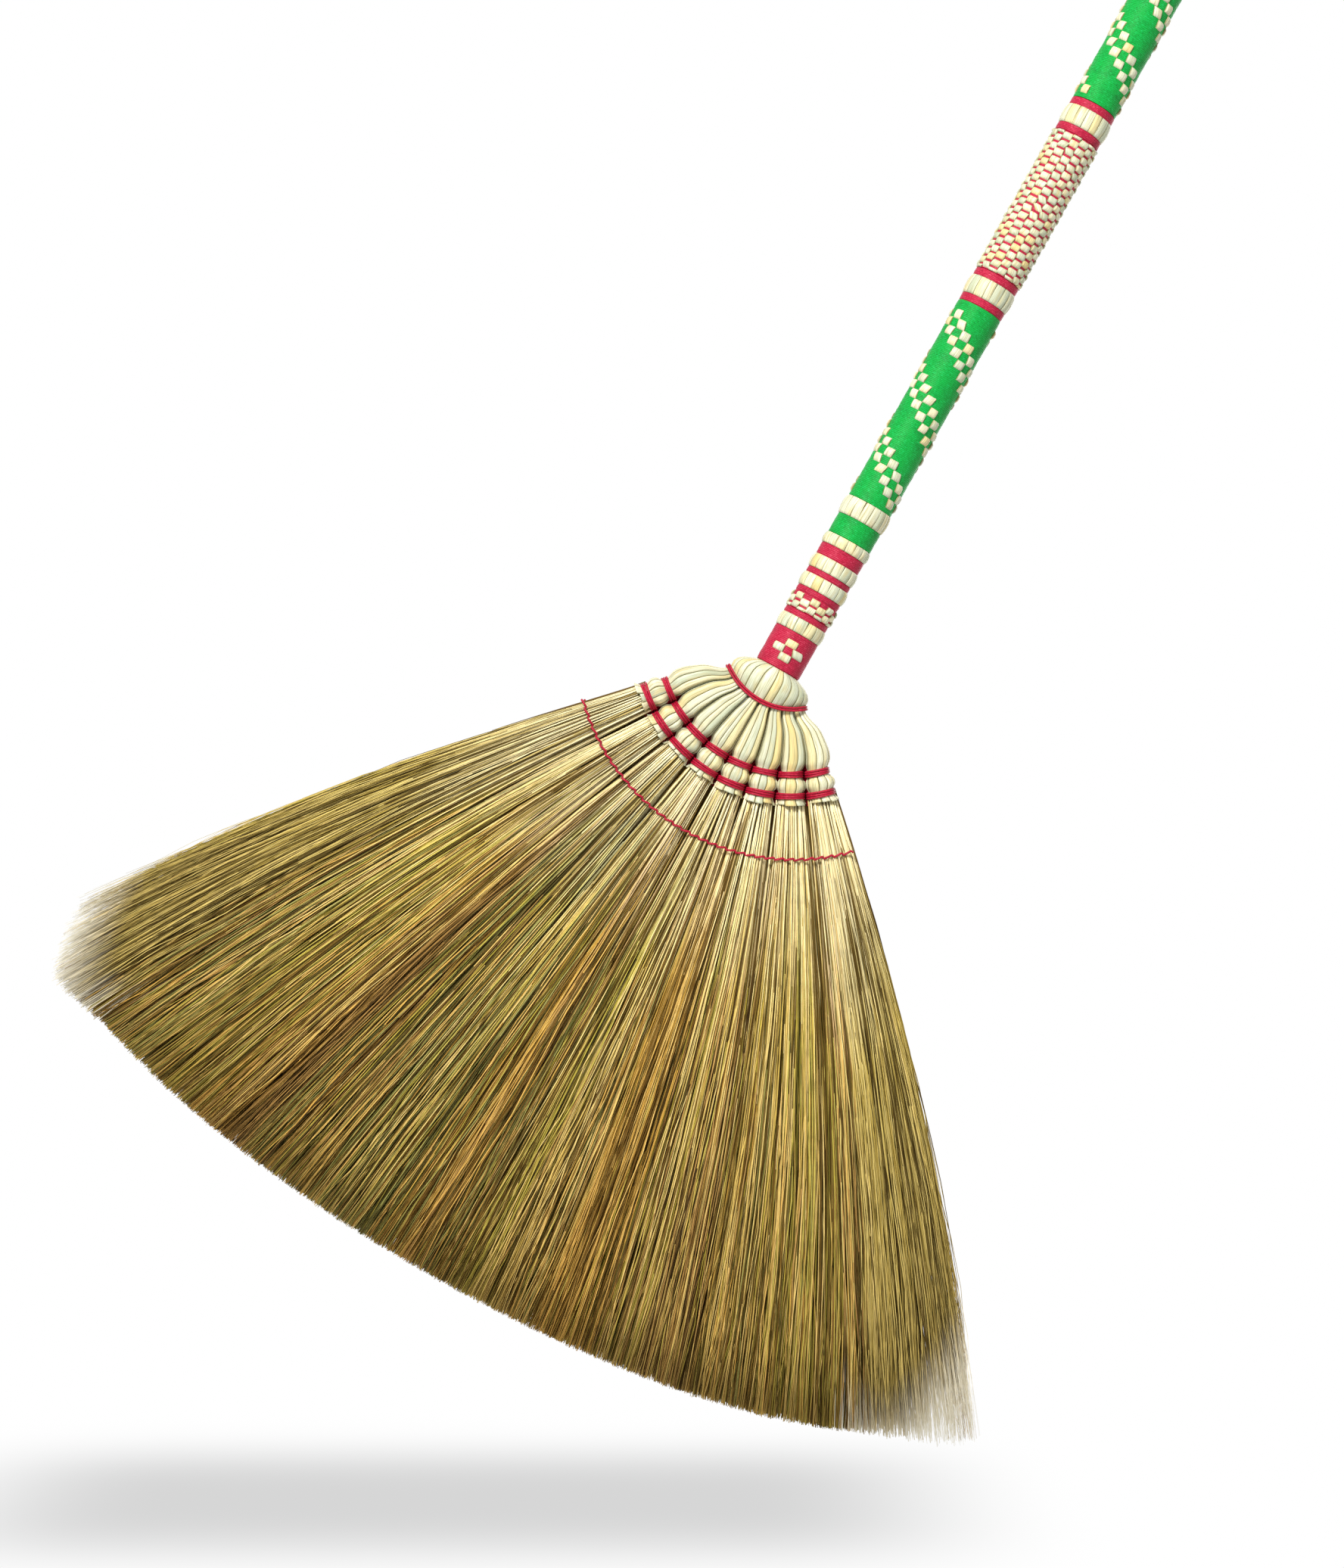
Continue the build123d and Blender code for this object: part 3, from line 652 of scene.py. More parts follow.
def thread_band(bottom, top):
    """One tight band: a sleeve with fine turns, slightly uneven, with rounded shoulders."""
    steps = max(4, 2 * round((top - bottom) / thread_turn))
    bpy.ops.mesh.primitive_circle_add(vertices=thread_sides, radius=thread_r)
    band = bpy.context.object
    rise = band.modifiers.new("rise", "SCREW")
    rise.angle = 0.0
    rise.screw_offset = top - bottom
    rise.steps = steps
    rise.render_steps = steps
    rise.use_merge_vertices = False
    bpy.ops.object.modifier_apply(modifier="rise")
    wall = band.modifiers.new("wall", "SOLIDIFY")
    wall.thickness = thread_depth
    wall.offset = 1.0
    bpy.ops.object.modifier_apply(modifier="wall")
    bpy.ops.object.mode_set(mode="EDIT")
    bpy.ops.mesh.select_all(action="SELECT")
    bpy.ops.mesh.normals_make_consistent(inside=False)
    bpy.ops.object.mode_set(mode="OBJECT")
    row_h = (top - bottom) / steps
    for vertex in band.data.vertices:
        spot = vertex.co
        radius = spot.xy.length
        row = round(spot.z / row_h)
        edge = min(spot.z, top - bottom - spot.z)
        spot.z += bottom
        if radius < thread_r - thread_depth / 2:
            continue
        drop = shoulder_drop * max(0.0, 1 - edge / shoulder)
        lumps = broad_lump * noise.noise(spot * broad_lump_rate)
        lumps += small_lump * noise.noise(spot * small_lump_rate)
        spot.xy *= (radius - drop + lumps + (ridge if row % 2 else -ridge)) / radius
    bpy.ops.object.shade_smooth_by_angle(angle=radians(60))
    band.select_set(False)
    return band


def winding(node, kind, material):
    """All the bands of one winding."""
    parts = [thread_band(bottom, top) for bottom, top in node_bands(node, kind)]
    dress(join(f"{node}_wound", parts), material, node)


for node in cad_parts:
    if node.startswith("green_wrap"):
        winding(node, "green", green)
    elif node.startswith("weave_thread"):
        winding(node, "weave", crimson)
    elif node.startswith(("red_bands", "flower_band")):
        winding(node, "red", crimson)


def reed_rings():
    """Every ring where the lengthwise reeds show: bulging strips of uneven width side by side."""
    outer = []
    inner = []
    spots = []
    swell = np.sin(pi * (0.06 + 0.88 * ring_along[:, None])) ** 0.5
    crown = 1 - 0.4 * np.abs(ring_across[None, :]) ** 4
    for kind, bottom, top in bands:
        if kind != "ring":
            continue
        edges = uneven_edges(reed_count, 0.75, 1.25) * 2 * pi + chance.uniform(0, 1)
        for start, end in zip(edges, edges[1:]):
            bulge = ring_bulge * chance.uniform(0.8, 1.15)
            radius = thread_r - ring_sunk + bulge * swell * crown + ring_swell * swell
            lean = chance.uniform(-0.05, 0.05) * (ring_along[:, None] - 0.5)
            turn = (start + end) / 2 + ring_across[None, :] * (end - start) / 2 * ring_slit + lean
            z = bottom + (top - bottom) * ring_along[:, None] + 0 * turn
            outer.append(on_handle(radius, turn, z))
            inner.append(on_handle(0 * radius + thread_r - ring_back, turn, z))
            slot = chance.integers(strip_slots)
            spots.append(strip_spots(ring_across * 0.92, ring_along, slot, chance.uniform(0, 0.8), 0.15))
    dress(slab_piece("reed_rings", outer, inner, spots), reed, "handle_reeds")


reed_rings()


# Reed floats, each at a place of (turn, height, half turn, half height)

def reed_floats(name, places, node):
    """Crowned reed floats at their places."""
    outer = []
    inner = []
    spots = []
    across = float_across[None, :]
    along = float_along[:, None]
    lift = (1 - 0.5 * np.abs(across) ** 6) * (1 - 0.9 * np.abs(along) ** 4)
    for turn, z, half_turn, half_height in places:
        lean = chance.normal(0, 0.03)
        z_grid = z + along * half_height + 0 * across
        turn_grid = turn + across * half_turn + lean * along
        radius = thread_r - float_sunk + (float_t + float_sunk) * chance.uniform(0.85, 1.1) * lift
        outer.append(on_handle(radius, turn_grid, z_grid))
        inner.append(on_handle(0 * radius + thread_r - float_sunk - float_back, turn_grid, z_grid))
        slot = chance.integers(strip_slots)
        spots.append(strip_spots(float_across, (float_along + 1) / 2, slot, chance.uniform(0, 0.9), 0.08))
    dress(slab_piece(name, outer, inner, spots), reed, node)


def checks(level, first):
    """Diagonal lines of cream checks woven over a green winding."""
    bottom = node_bands(f"green_wrap_{level}", "green")[0][0]
    places = []
    for row in range(check_rows):
        for column in range(reed_count):
            if (row + column - first) % check_period in (0, 2):
                z = bottom + check_foot + (row + 0.5) * check_row + chance.normal(0, 0.1) * MM
                turn = front_turn + column * column_turn + chance.normal(0, 0.01)
                half_turn = column_turn * check_half_share * chance.uniform(0.92, 1.04)
                half_height = check_row * check_half_share * chance.uniform(0.92, 1.05)
                places.append((turn, z, half_turn, half_height))
    reed_floats(f"checks_{level}", places, f"green_checks_{level}")


def weave(level):
    """A checkerboard weave: floats half a row apart in neighbouring columns."""
    bottom, top = node_bands(f"weave_thread_{level}", "weave")[0]
    places = []
    for column in range(reed_count):
        odd = column % 2
        middle = bottom + check_row / 2 - (check_row / 2 if odd else 0)
        while middle < top:
            low = max(middle - (check_row - weave_gap) / 2, bottom + weave_seat)
            high = min(middle + (check_row - weave_gap) / 2, top - weave_seat)
            if high - low > least_float:
                turn = front_turn + column * column_turn + chance.normal(0, 0.008)
                share = wide_float_share if odd else narrow_float_share
                half_turn = column_turn * share * chance.uniform(0.97, 1.03)
                z = (low + high) / 2 + chance.normal(0, 0.06) * MM
                places.append((turn, z, half_turn, (high - low) / 2))
            middle += check_row
    reed_floats(f"weave_{level}", places, f"weave_reeds_{level}")


def flower():
    """Four floats round a crimson middle, on the front of the tall crimson band."""
    bottom, top = node_bands("flower_band", "red")[0]
    places = []
    for steps_round, steps_up in ((0, 1), (0, -1), (-1, 0), (1, 0)):
        turn = front_turn + steps_round * flower_step_w / thread_r
        z = (bottom + top) / 2 + steps_up * flower_step_h
        places.append((turn, z, flower_half_w / thread_r, flower_half_h))
    reed_floats("flower_floats", places, "flower_reeds")


for checks_level, first_check in (("lower", 2), ("middle", 4), ("top", 2)):
    checks(checks_level, first_check)
for weave_level in ("short", "lower", "upper"):
    weave(weave_level)
flower()


# The fan's own coordinates

def fan_spots(radius, angle, depth):
    """Points from arrays of distance from the apex, degrees from straight down, and depth."""
    turn = np.radians(angle)
    x = radius * np.sin(turn)
    z = apex_z - radius * np.cos(turn)
    return np.stack([x, depth + 0 * x, z], axis=-1)


def bundle_share(number):
    """A bundle's place in the fan, from -1 at one edge to 1 at the other."""
    return (2 * number - 1) / bundles - 1


fine_r = np.linspace(outline[0, 0], outline[-1, 0], 196)


def smooth_outline(column):
    """One column of the outline along the fan, with its corners rounded."""
    values = np.interp(fine_r, outline[:, 0], outline[:, column])
    half = round(rounding_mm[column] / (fine_r[1] - fine_r[0]) / 2)
    kernel = np.hanning(2 * half + 3)
    return np.convolve(np.pad(values, half + 1, mode="edge"), kernel / kernel.sum(), mode="valid")


smooth = [smooth_outline(column) for column in rounding_mm]


def rounded_section(place, power):
    """Shares of half width and half depth at a place from 0 to 4 round front, side, back and side."""
    face = np.floor(np.clip(place, 0, 3.999))
    slope = 1 - 2 * (place - face)
    corner = (1 - flat_share**power) ** (1 / power)
    wide = flat_share * slope
    wide_rest = (1 - np.abs(wide) ** power) ** (1 / power)
    deep = corner * slope
    deep_rest = (1 - np.abs(deep) ** power) ** (1 / power)
    x = np.choose(face.astype(int), [wide, -deep_rest, -wide, deep_rest])
    y = np.choose(face.astype(int), [wide_rest, deep, -wide_rest, -deep])
    return x, y


def bundle_surface(share, radius, place, inset):
    """Points on a bundle's sheath: distance from the apex in mm, place round it, inset in mm."""
    half_angle, gap, depth, round_share, power = (np.interp(radius, fine_r, values) for values in smooth)
    half_w = (radius * 2 * np.radians(half_angle) / bundles - gap) / 2 - inset
    half_d = depth / 2 * np.sqrt(1 - round_share * share**2) - inset
    x, y = rounded_section(place, power)
    angle = share * half_angle + np.degrees(half_w * x / radius)
    return fan_spots(radius * MM, angle, -half_d * y * MM)


def sheath(number):
    """A bundle's sheath of flattened reed strips, crowned, with seams darkened by painted shade and a frayed
    end.
    """
    share = bundle_share(number)
    across = strip_across[None, :]
    along = sheath_along[:, None]
    edges = [0.0]
    for face, strips in enumerate(sheath_strips):
        edges += list(face + uneven_edges(strips, 0.65, 1.35)[1:])
    outer = []
    inner = []
    spots = []
    slots = chance.permutation(strip_slots)[:len(edges) - 1]
    for slot, start, end in zip(slots, edges, edges[1:]):
        place = (start + end) / 2 + across * (end - start) / 2 * sheath_slit + 0 * along
        fray = chance.uniform(-0.9, 0.8)
        radius = sheath_start + (sheath_end + fray - sheath_start) * along + 0 * across
        crown = sheath_crown_share * radius * (1 - np.abs(across) ** 3.6) * chance.uniform(0.8, 1.2)
        pinch = 1 - pinch_share * np.exp(-((radius - row1_mm) / pinch_half_w) ** 4)
        pinch -= pinch_share * np.exp(-((radius - row2_mm) / pinch_half_w) ** 4)
        outer.append(bundle_surface(share, radius, place, sheath_inset - crown * pinch))
        inner.append(bundle_surface(share, radius, place, sheath_back_inset + 0 * crown))
        spots.append(strip_spots(strip_across, sheath_along, slot, 0.02, 0.96))
    piece = slab_piece(f"sheath_{number}", outer, inner, spots)
    dress(piece, reed, f"reed_sheath_{number}")


for sheath_number in range(1, bundles + 1):
    sheath(sheath_number)


def collar():
    """The gathered collar: flat reed strips that bulge out between the handle and the neck cord."""
    across = strip_across[None, :]
    along = collar_along[:, None]
    edges = uneven_edges(collar_strips, 0.7, 1.3) * 2 * pi
    outer = []
    inner = []
    spots = []
    slots = chance.permutation(strip_slots)[:collar_strips]
    for slot, start, end in zip(slots, edges, edges[1:]):
        turn = (start + end) / 2 - across * (end - start) / 2 * collar_slit + 0 * along
        # The foot of each strip ends on a circle round the apex, where the neck cord ties it down
        foot_x = collar_foot_half_w * np.cos(turn)
        foot_drop = np.sqrt(collar_end**2 - foot_x**2) - apex_mm
        drop = collar_lip + (foot_drop - collar_lip) * along
        tied = np.clip((along - 0.62) / 0.34, 0, 1) ** 1.6
        crown = collar_crown * (1 - np.abs(across) ** 3.4) * chance.uniform(0.7, 1.2)
        pinch = np.minimum(1, np.minimum(along, 1.05 - along) * 7)
        for store, inset in ((outer, collar_inset - crown * pinch), (inner, collar_back_inset + 0 * crown)):
            half_w = np.interp(drop, collar_drop, collar_half_w) - inset - tied_in_w * tied
            half_d = np.interp(drop, collar_drop, collar_half_d) - inset - tied_in_d * tied
            x = half_w * np.cos(turn) * MM
            y = half_d * np.sin(turn) * MM
            store.append(np.stack([x, y, collar_top_z - drop * MM], axis=-1))
        spots.append(strip_spots(strip_across, collar_along, slot, 0.1, 0.35))
    dress(slab_piece("collar_strips", outer, inner, spots), reed, "collar")


collar()


# Tubes along many paths

def tubes(name, paths, radii, sides, spots=None):
    """Closed tubes along paths: (tube, station, xyz), with a radius at each station."""
    count, stations = paths.shape[:2]
    tiny = 1e-12
    ahead = np.gradient(paths, axis=1)
    ahead /= np.linalg.norm(ahead, axis=2, keepdims=True) + tiny
    guide = np.zeros_like(paths)
    guide[..., 1] = 1.0
    side = np.cross(guide, ahead)
    side /= np.linalg.norm(side, axis=2, keepdims=True) + tiny
    rise = np.cross(ahead, side)
    turns = np.arange(sides) / sides * 2 * pi
    ring = (
        side[:, :, None, :] * np.cos(turns)[None, None, :, None]
        + rise[:, :, None, :] * np.sin(turns)[None, None, :, None]
    )
    points = paths[:, :, None, :] + ring * radii[:, :, None, None]
    index = np.arange(count * stations * sides).reshape(count, stations, sides)
    near = index[:, :-1, :]
    far = index[:, 1:, :]
    body = np.stack([near, np.roll(near, -1, axis=2), np.roll(far, -1, axis=2), far], axis=-1).reshape(-1, 4)
    triangles = [body[:, [0, 1, 2]], body[:, [0, 2, 3]]]
    for place in range(1, sides - 1):
        first = index[:, 0, :]
        last = index[:, -1, :]
        triangles.append(np.stack([first[:, 0], first[:, place + 1], first[:, place]], axis=-1))
        triangles.append(np.stack([last[:, 0], last[:, place], last[:, place + 1]], axis=-1))
    flat_spots = None
    if spots is not None:
        flat_spots = np.repeat(spots[:, :, None, :], sides, axis=2)
        flat_spots[..., 0] += np.linspace(-0.2, 0.2, sides)[None, None, :] / grass_slots
        flat_spots = flat_spots.reshape(-1, 2)
    return new_piece(name, points.reshape(-1, 3), np.concatenate(triangles), flat_spots)


def cords(name, paths, radius, sides):
    """Closed tubes of one radius."""
    return tubes(name, paths, np.full(paths.shape[:2], radius), sides)


# Bindings

def binding(number, row_r, half_depth):
    """Close turns of crimson cord round one bundle, on the rounded form of its waist."""
    half_w = row_r * radians(row_angle) / bundles - waist_gap * MM / 2 + cord_r
    wobble = chance.uniform(0, 6)
    turn = np.linspace(0, cord_turns * 2 * pi, cord_turns * 48 + 1)
    level = row_r + (turn / (2 * pi) - cord_turns / 2) * cord_pitch + 0.1 * MM * np.sin(turn * 1.7 + wobble)
    x = np.sign(np.sin(turn)) * np.abs(np.sin(turn)) ** (2 / waist_power)
    y = np.sign(np.cos(turn)) * np.abs(np.cos(turn)) ** (2 / waist_power)
    angle = bundle_share(number) * row_angle + np.degrees(half_w * x / level)
    path = fan_spots(level, angle, (half_depth + cord_r) * y)
    return cords(f"binding_{number}", path[None], cord_r, 7)


def crossings(row_r, half_depth):
    """The cord's crossings between neighbouring bundles, from the front of one to the back of the next."""
    step = np.array([-1, -0.45, 0, 0.45, 1])
    paths = []
    for gap in range(1, bundles):
        angle = (2 * gap / bundles - 1) * row_angle
        for strand in range(crossing_rows * 2):
            level = row_r + (strand // 2 - (crossing_rows - 1) / 2) * cord_pitch * 0.95
            beside = (crossing_reach if strand % 2 else -crossing_reach) * step
            sway = np.degrees((beside + chance.normal(0, 0.08 * MM, len(step))) / level)
            paths.append(fan_spots(np.full(len(step), level), angle + sway, 0.4 * half_depth * step))
    return cords("crossings", np.array(paths), cord_r, 6)


def binding_row(row, row_mm, depth):
    """One row of bindings and the crossings between them."""
    row_r = row_mm * MM
    half_depth = depth * MM / 2
    parts = [binding(number, row_r, half_depth) for number in range(1, bundles + 1)]
    parts.append(crossings(row_r, half_depth))
    dress(join(f"bindings_{row}", parts), crimson_cord, f"bundle_bindings_{row}")


def round_neck(name, radius, turns, half_angle, half_depth, pitch, wire_r):
    """Turns round the whole neck, on circles round the apex."""
    turn = np.linspace(0, turns * 2 * pi, turns * 72 + 1)
    level = radius + (turn / (2 * pi) - turns / 2) * pitch
    flat = np.sign(np.cos(turn)) * np.abs(np.cos(turn)) ** 0.62
    path = fan_spots(level, half_angle * np.sin(turn), half_depth * flat)
    return cords(name, path[None], wire_r, 8)


binding_row("upper", row1_mm, row1_depth)
binding_row("lower", row2_mm, row2_depth)
neck_half_depth = neck_depth / 2 * MM + cord_r + 0.2 * MM
neck_cord = round_neck("neck_cord", neck_r, neck_turns, neck_angle, neck_half_depth, neck_pitch, cord_r)
dress(neck_cord, crimson_cord, "neck_binding")
inner_tie = round_neck("inner_tie", tie_r, tie_turns, tie_angle, tie_half_depth, tie_pitch, tie_wire_r)
dress(inner_tie, zinc, "neck_tie_wire")


# Grass. A leaning is how likely each cast is.

stem_leaning = np.array([0.85, 0.3, -0.1, 0.35, -0.2, -1.5])
shaded_leaning = np.array([-0.8, -0.3, 1.5, -0.3, 0.0, 0.0])
fibre_leaning = np.array([0.38, 0.36, 0.08, 0.24, -0.12, -1.2])
corner_leaning = np.array([0.0, -0.1, -0.1, 0.1, -0.2, 2.6])


def grass_paths(share, column, depth, tip_column, stations):
    """Paths from the last binding to the trimmed edge, and each strand's sideways direction.

    Columns and depths run from -1 to 1 in a bundle, and stations from 0 to 1 along each strand.
    """
    root_share = share + column * root_spread / bundles
    tip_share = share + tip_column * tip_spread / bundles
    root_y = depth * root_half_depth * np.sqrt(np.clip(1 - np.abs(column) ** 2.4 * 0.8, 0, 1))
    root = fan_spots(np.full_like(column, root_r), root_share * row_angle, root_y)
    way_turn = np.radians(tip_share * chord_angle)
    way = np.stack([np.sin(way_turn), 0 * way_turn, -np.cos(way_turn)], axis=-1)
    start_x = root[:, 0] / trim_half_w
    start_z = (root[:, 2] - apex_z + trim_below_apex) / trim_half_h
    step_x = way[:, 0] / trim_half_w
    step_z = way[:, 2] / trim_half_h
    square = step_x**2 + step_z**2
    cross = start_x * step_x + start_z * step_z
    rest = start_x**2 + start_z**2 - 1
    length = (np.sqrt(cross**2 - square * rest) - cross) / square
    tip = root + way * length[:, None]
    tip[:, 1] = depth * tip_half_depth
    out = np.stack([np.cos(way_turn), 0 * way_turn, np.sin(way_turn)], axis=-1)
    bend = 2 * bow * tip_share * length / bow_length
    middle = (root + tip) / 2 + out * bend[:, None]
    v = stations[:, :, None]
    paths = root[:, None] * (1 - v) ** 2 + middle[:, None] * 2 * v * (1 - v) + tip[:, None] * v**2
    # The grass at both edges of the fan leans a little towards +X
    lean_in = lean_in_most * np.clip((-tip_share - 0.7) / 0.3, 0, 1)
    lean_out = lean_out_most * np.clip((tip_share - 0.6) / 0.4, 0, 1)
    paths += out[:, None] * (lean_in[:, None, None] * v**0.6 + lean_out[:, None, None] * v**2)
    return paths, out


def wavy(paths, out, stations, wavers):
    """Adds each strand's own wavers, as widths and ranges of waves, growing towards the tip."""
    count = len(paths)
    for width, waves in wavers:
        for direction, gain in ((out, 1.0), (np.array([[0, 1.0, 0]]), 0.8)):
            phase = chance.uniform(0, 2 * pi, (count, 1))
            rate = chance.uniform(*waves, (count, 1))
            size = width * gain * np.clip(chance.normal(0, 1, (count, 1)), -1.6, 1.6)
            sway = size * (np.sin(rate * stations * 2 * pi + phase) - np.sin(phase)) * stations**0.7
            paths = paths + sway[..., None] * direction[:, None, :]
    return paths


def grass_tones(fan_share, depth, start, leaning, light, spread, furrow_shade):
    """A slot for each strand: casts run in streaks and patches, shades vary from strand to strand, and
    painted shade makes inner strands and narrow furrows darker.
    """
    count = len(fan_share)
    slots = np.empty(count)
    leanings = np.broadcast_to(leaning, (count, len(grass_casts)))
    pick = chance.gumbel(0, 0.12, (count, len(grass_casts)))
    # Painted shade: strands deep inside the bundle get darker shades
    shade = chance.normal(0, spread, count) + light - 0.3 * (1 - np.abs(depth))
    for index, (place, deep, along) in enumerate(zip(fan_share, depth, start)):
        streaks = [
            1.15 * noise.noise(Vector((place * broad_streak_rate, deep * 0.6 + along * 2.5, 3.1 * cast)))
            + 0.7 * noise.noise(Vector((place * narrow_streak_rate, deep * 2.4 + along * 6.0, 7.7 * cast)))
            for cast in range(len(grass_casts))
        ]
        cast = int(np.argmax(np.array(streaks) + leanings[index] + pick[index]))
        # Painted shade: where the furrow noise is low, a strand gets a darker shade, as a narrow dark line
        # between strands
        streak = noise.noise(Vector((place * furrow_rate, deep * 3.0 + along * 5.0, 40.0)))
        furrow_shade_drop = furrow_shade if streak < furrow_below else 0.0
        step = np.clip((shade[index] + 0.95 * streak - furrow_shade_drop) * grass_shades, 0, grass_shades - 1)
        slots[index] = cast * grass_shades + round(step) + 0.5
    return slots


def strand_spots(slots, v):
    """Map places of strands: a slot each across, and the place along them."""
    u = slots[:, None] / grass_slots + 0 * v
    return np.stack([u, v], axis=-1)


def stems(number):
    """Pale stems that end part of the way down, and dark ones in the gaps beside the bundle, which are
    painted shade between the bundles.
    """
    share = bundle_share(number)
    grid_x, grid_y = np.meshgrid(np.arange(stem_columns), np.arange(stem_layers))
    bound = stem_columns * stem_layers
    x = (grid_x.ravel() + 0.5) / stem_columns * 2 - 1 + chance.normal(0, stem_scatter, bound)
    y = (grid_y.ravel() + 0.5) / layers_to_middle - 1.05 + chance.normal(0, layer_scatter, bound)
    gap_x = chance.uniform(*gap_columns, gap_stems) * chance.choice([-1, 1], gap_stems)
    gap_y = chance.uniform(-gap_half_layer, gap_half_layer, gap_stems)
    x = np.concatenate([np.clip(x, -1, 1), gap_x])
    y = np.concatenate([np.clip(y, -1, 1), gap_y])
    count = bound + gap_stems
    tip = x * 0.98 + chance.normal(0, stem_tip_scatter, count)
    in_gap = np.arange(count) >= bound
    reach = np.where(in_gap, gap_reach, stem_reach) * chance.uniform(0.5, 1.0, count)
    stations = np.linspace(0, 1, stem_stations)[None, :] * reach[:, None]
    paths, out = grass_paths(share, x, y, tip, stations)
    paths = wavy(paths, out, stations, stem_wavers)
    root_radius = chance.uniform(*stem_r, (count, 1))
    root_radius[in_gap] = gap_stem_r
    radii = root_radius * (1 - stem_thinning * (stations / reach[:, None]) ** 0.9)
    # Painted shade: stems in the gaps get the darkest shades and lean to the brown cast
    light = np.where(in_gap, 0.0, stem_light)
    leaning = stem_leaning[None, :] + in_gap[:, None] * shaded_leaning[None, :]
    slots = grass_tones(share + x / bundles, y, 0 * x, leaning, light, 0.26, 0.25)
    piece = tubes(f"stems_{number}", paths, radii, 5, strand_spots(slots, 0.02 + 0.96 * stations))
    return piece, x, y, tip


def fine_grass(number, stem_x, stem_y, stem_tip):
    """Fine fibres that split off the stems and reach the trimmed edge in locks."""
    share = bundle_share(number)
    parent = chance.integers(0, len(stem_x), fibres)
    column = np.clip(stem_x[parent] + chance.normal(0, fibre_scatter, fibres), -1, 1)
    depth = np.clip(stem_y[parent] + chance.normal(0, layer_scatter, fibres), -1, 1)
    tip_column = np.clip(stem_tip[parent] + chance.normal(0, fibre_tip_scatter, fibres), -1.12, 1.12)
    # Inner locks lie behind the gaps between the outer ones
    offset = np.where(np.abs(depth) > 0.5, 0, 1 / locks)
    lock_number = np.round((tip_column + offset + 1) / 2 * locks - 0.5) + 0.5
    lock_number = lock_number + chance.normal(0, lock_scatter, fibres)
    lock = lock_number / locks * 2 - 1 - offset
    tip_column = tip_column + (lock - tip_column) * chance.uniform(*lock_pull, fibres)
    if number in (1, bundles):
        tip_column = np.clip(tip_column, -1.0, 1.0)
    tip_share = share + tip_column / bundles
    first = latest_start * chance.uniform(0, 1, fibres) ** 1.5
    short = chance.uniform(0, 1, fibres) < short_fibres
    early = chance.uniform(*short_reach, fibres)
    last = np.where(short, early, 1 - np.abs(chance.normal(0, trim_scatter, fibres)))
    corner = np.clip((np.abs(tip_share) - corner_from) / (1 - corner_from), 0, 1) ** 1.5
    longer_left = np.interp(-tip_share, left_corner_at, left_corner_gain)
    longer_right = right_corner_gain * corner * (tip_share > 0)
    last = last + longer_left + longer_right - corner_loss * corner * chance.uniform(0, 1, fibres) ** 1.8
    steps = np.linspace(0, 1, fibre_stations)[None, :]
    stations = first[:, None] + (last - first)[:, None] * steps
    paths, out = grass_paths(share, column, depth, tip_column, stations)
    paths = wavy(paths, out, stations, fibre_wavers)
    root_radius = chance.uniform(*fibre_r, (fibres, 1))
    taper = np.minimum(0.6 + 3 * steps, 1.1 - 0.5 * steps**2)
    radii = root_radius * taper * (1 - 0.7 * corner[:, None] * steps)
    past = np.maximum(np.abs(tip_share) - bleach_from, 0)
    in_corner = np.minimum(past / 0.12, 1)
    leaning = fibre_leaning[None, :] + in_corner[:, None] * corner_leaning[None, :]
    # Fibres near the fan's corners get lighter shades: partly their paler colour, partly painted light
    # against the shade among the strands
    slots = grass_tones(tip_share, depth, first, leaning, fibre_light + 0.3 * corner, 0.3, 0.6)
    bleach_late = bleach_delay * (1 - np.minimum(past / (1 - bleach_from), 1)) * in_corner
    v = 0.02 + 0.96 * np.clip(stations - bleach_late[:, None], 0, 1)
    return tubes(f"fibres_{number}", paths, radii, 3, strand_spots(slots, v))


def bundle_grass(number):
    """One bundle's grass: stems at the binding, and fine fibres down to the trimmed edge."""
    stem_piece, stem_x, stem_y, stem_tip = stems(number)
    fibre_piece = fine_grass(number, stem_x, stem_y, stem_tip)
    dress(join(f"grass_{number}", [stem_piece, fibre_piece]), grass, f"bristles_{number}")


for grass_number in range(1, bundles + 1):
    bundle_grass(grass_number)


def stitch_line():
    """Crimson thread sewn through the fan, front and back, in short stitches that slant alike."""
    step = np.linspace(0, stitches, stitches * stitch_stations + 1)
    within = step - np.floor(step)
    there = within / stitch_share
    back = (within - stitch_share) / (1 - stitch_share)
    saw = np.where(within < stitch_share, there - 0.5, 0.5 - back)
    lift = np.sin(np.clip(there, 0, 1) * pi) ** 0.5
    paths = []
    for face in (-1, 1):
        level = stitch_r + stitch_slant * saw * face
        depth = face * (stitch_half_depth + stitch_lift * lift)
        paths.append(fan_spots(level, (step / stitches * 2 - 1) * row_angle, depth))
    piece = cords("stitches", np.array(paths), stitch_thread_r, 6)
    dress(piece, crimson_cord, "stitch_thread")


stitch_line()


# CAD nodes that keep their own shape

for node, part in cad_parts.items():
    if node == "handle_stick":
        part.data.materials.clear()
        part.data.materials.append(beech)
    elif node.startswith("stalk_bundle"):
        part.data.materials.clear()
        part.data.materials.append(stalks)


# Camera: the photograph's scale, its tilt, and the place of the neck in it, in pixels

pixel = 0.35 * MM
image_w, image_h = 1776, 2072
neck_px_x, neck_px_y = 1031, 878
lens_mm = 85.0
sensor_mm = 36.0
roll = radians(29.4)
photo_right = Vector((cos(roll), 0, sin(roll)))
photo_up = Vector((-sin(roll), 0, cos(roll)))
photo_away = Vector((0, 1, 0))
neck = Vector((0, 0, collar_top_z + 2.6 * MM))
photo_middle = neck - photo_right * (neck_px_x - image_w / 2) * pixel
photo_middle -= photo_up * (image_h / 2 - neck_px_y) * pixel


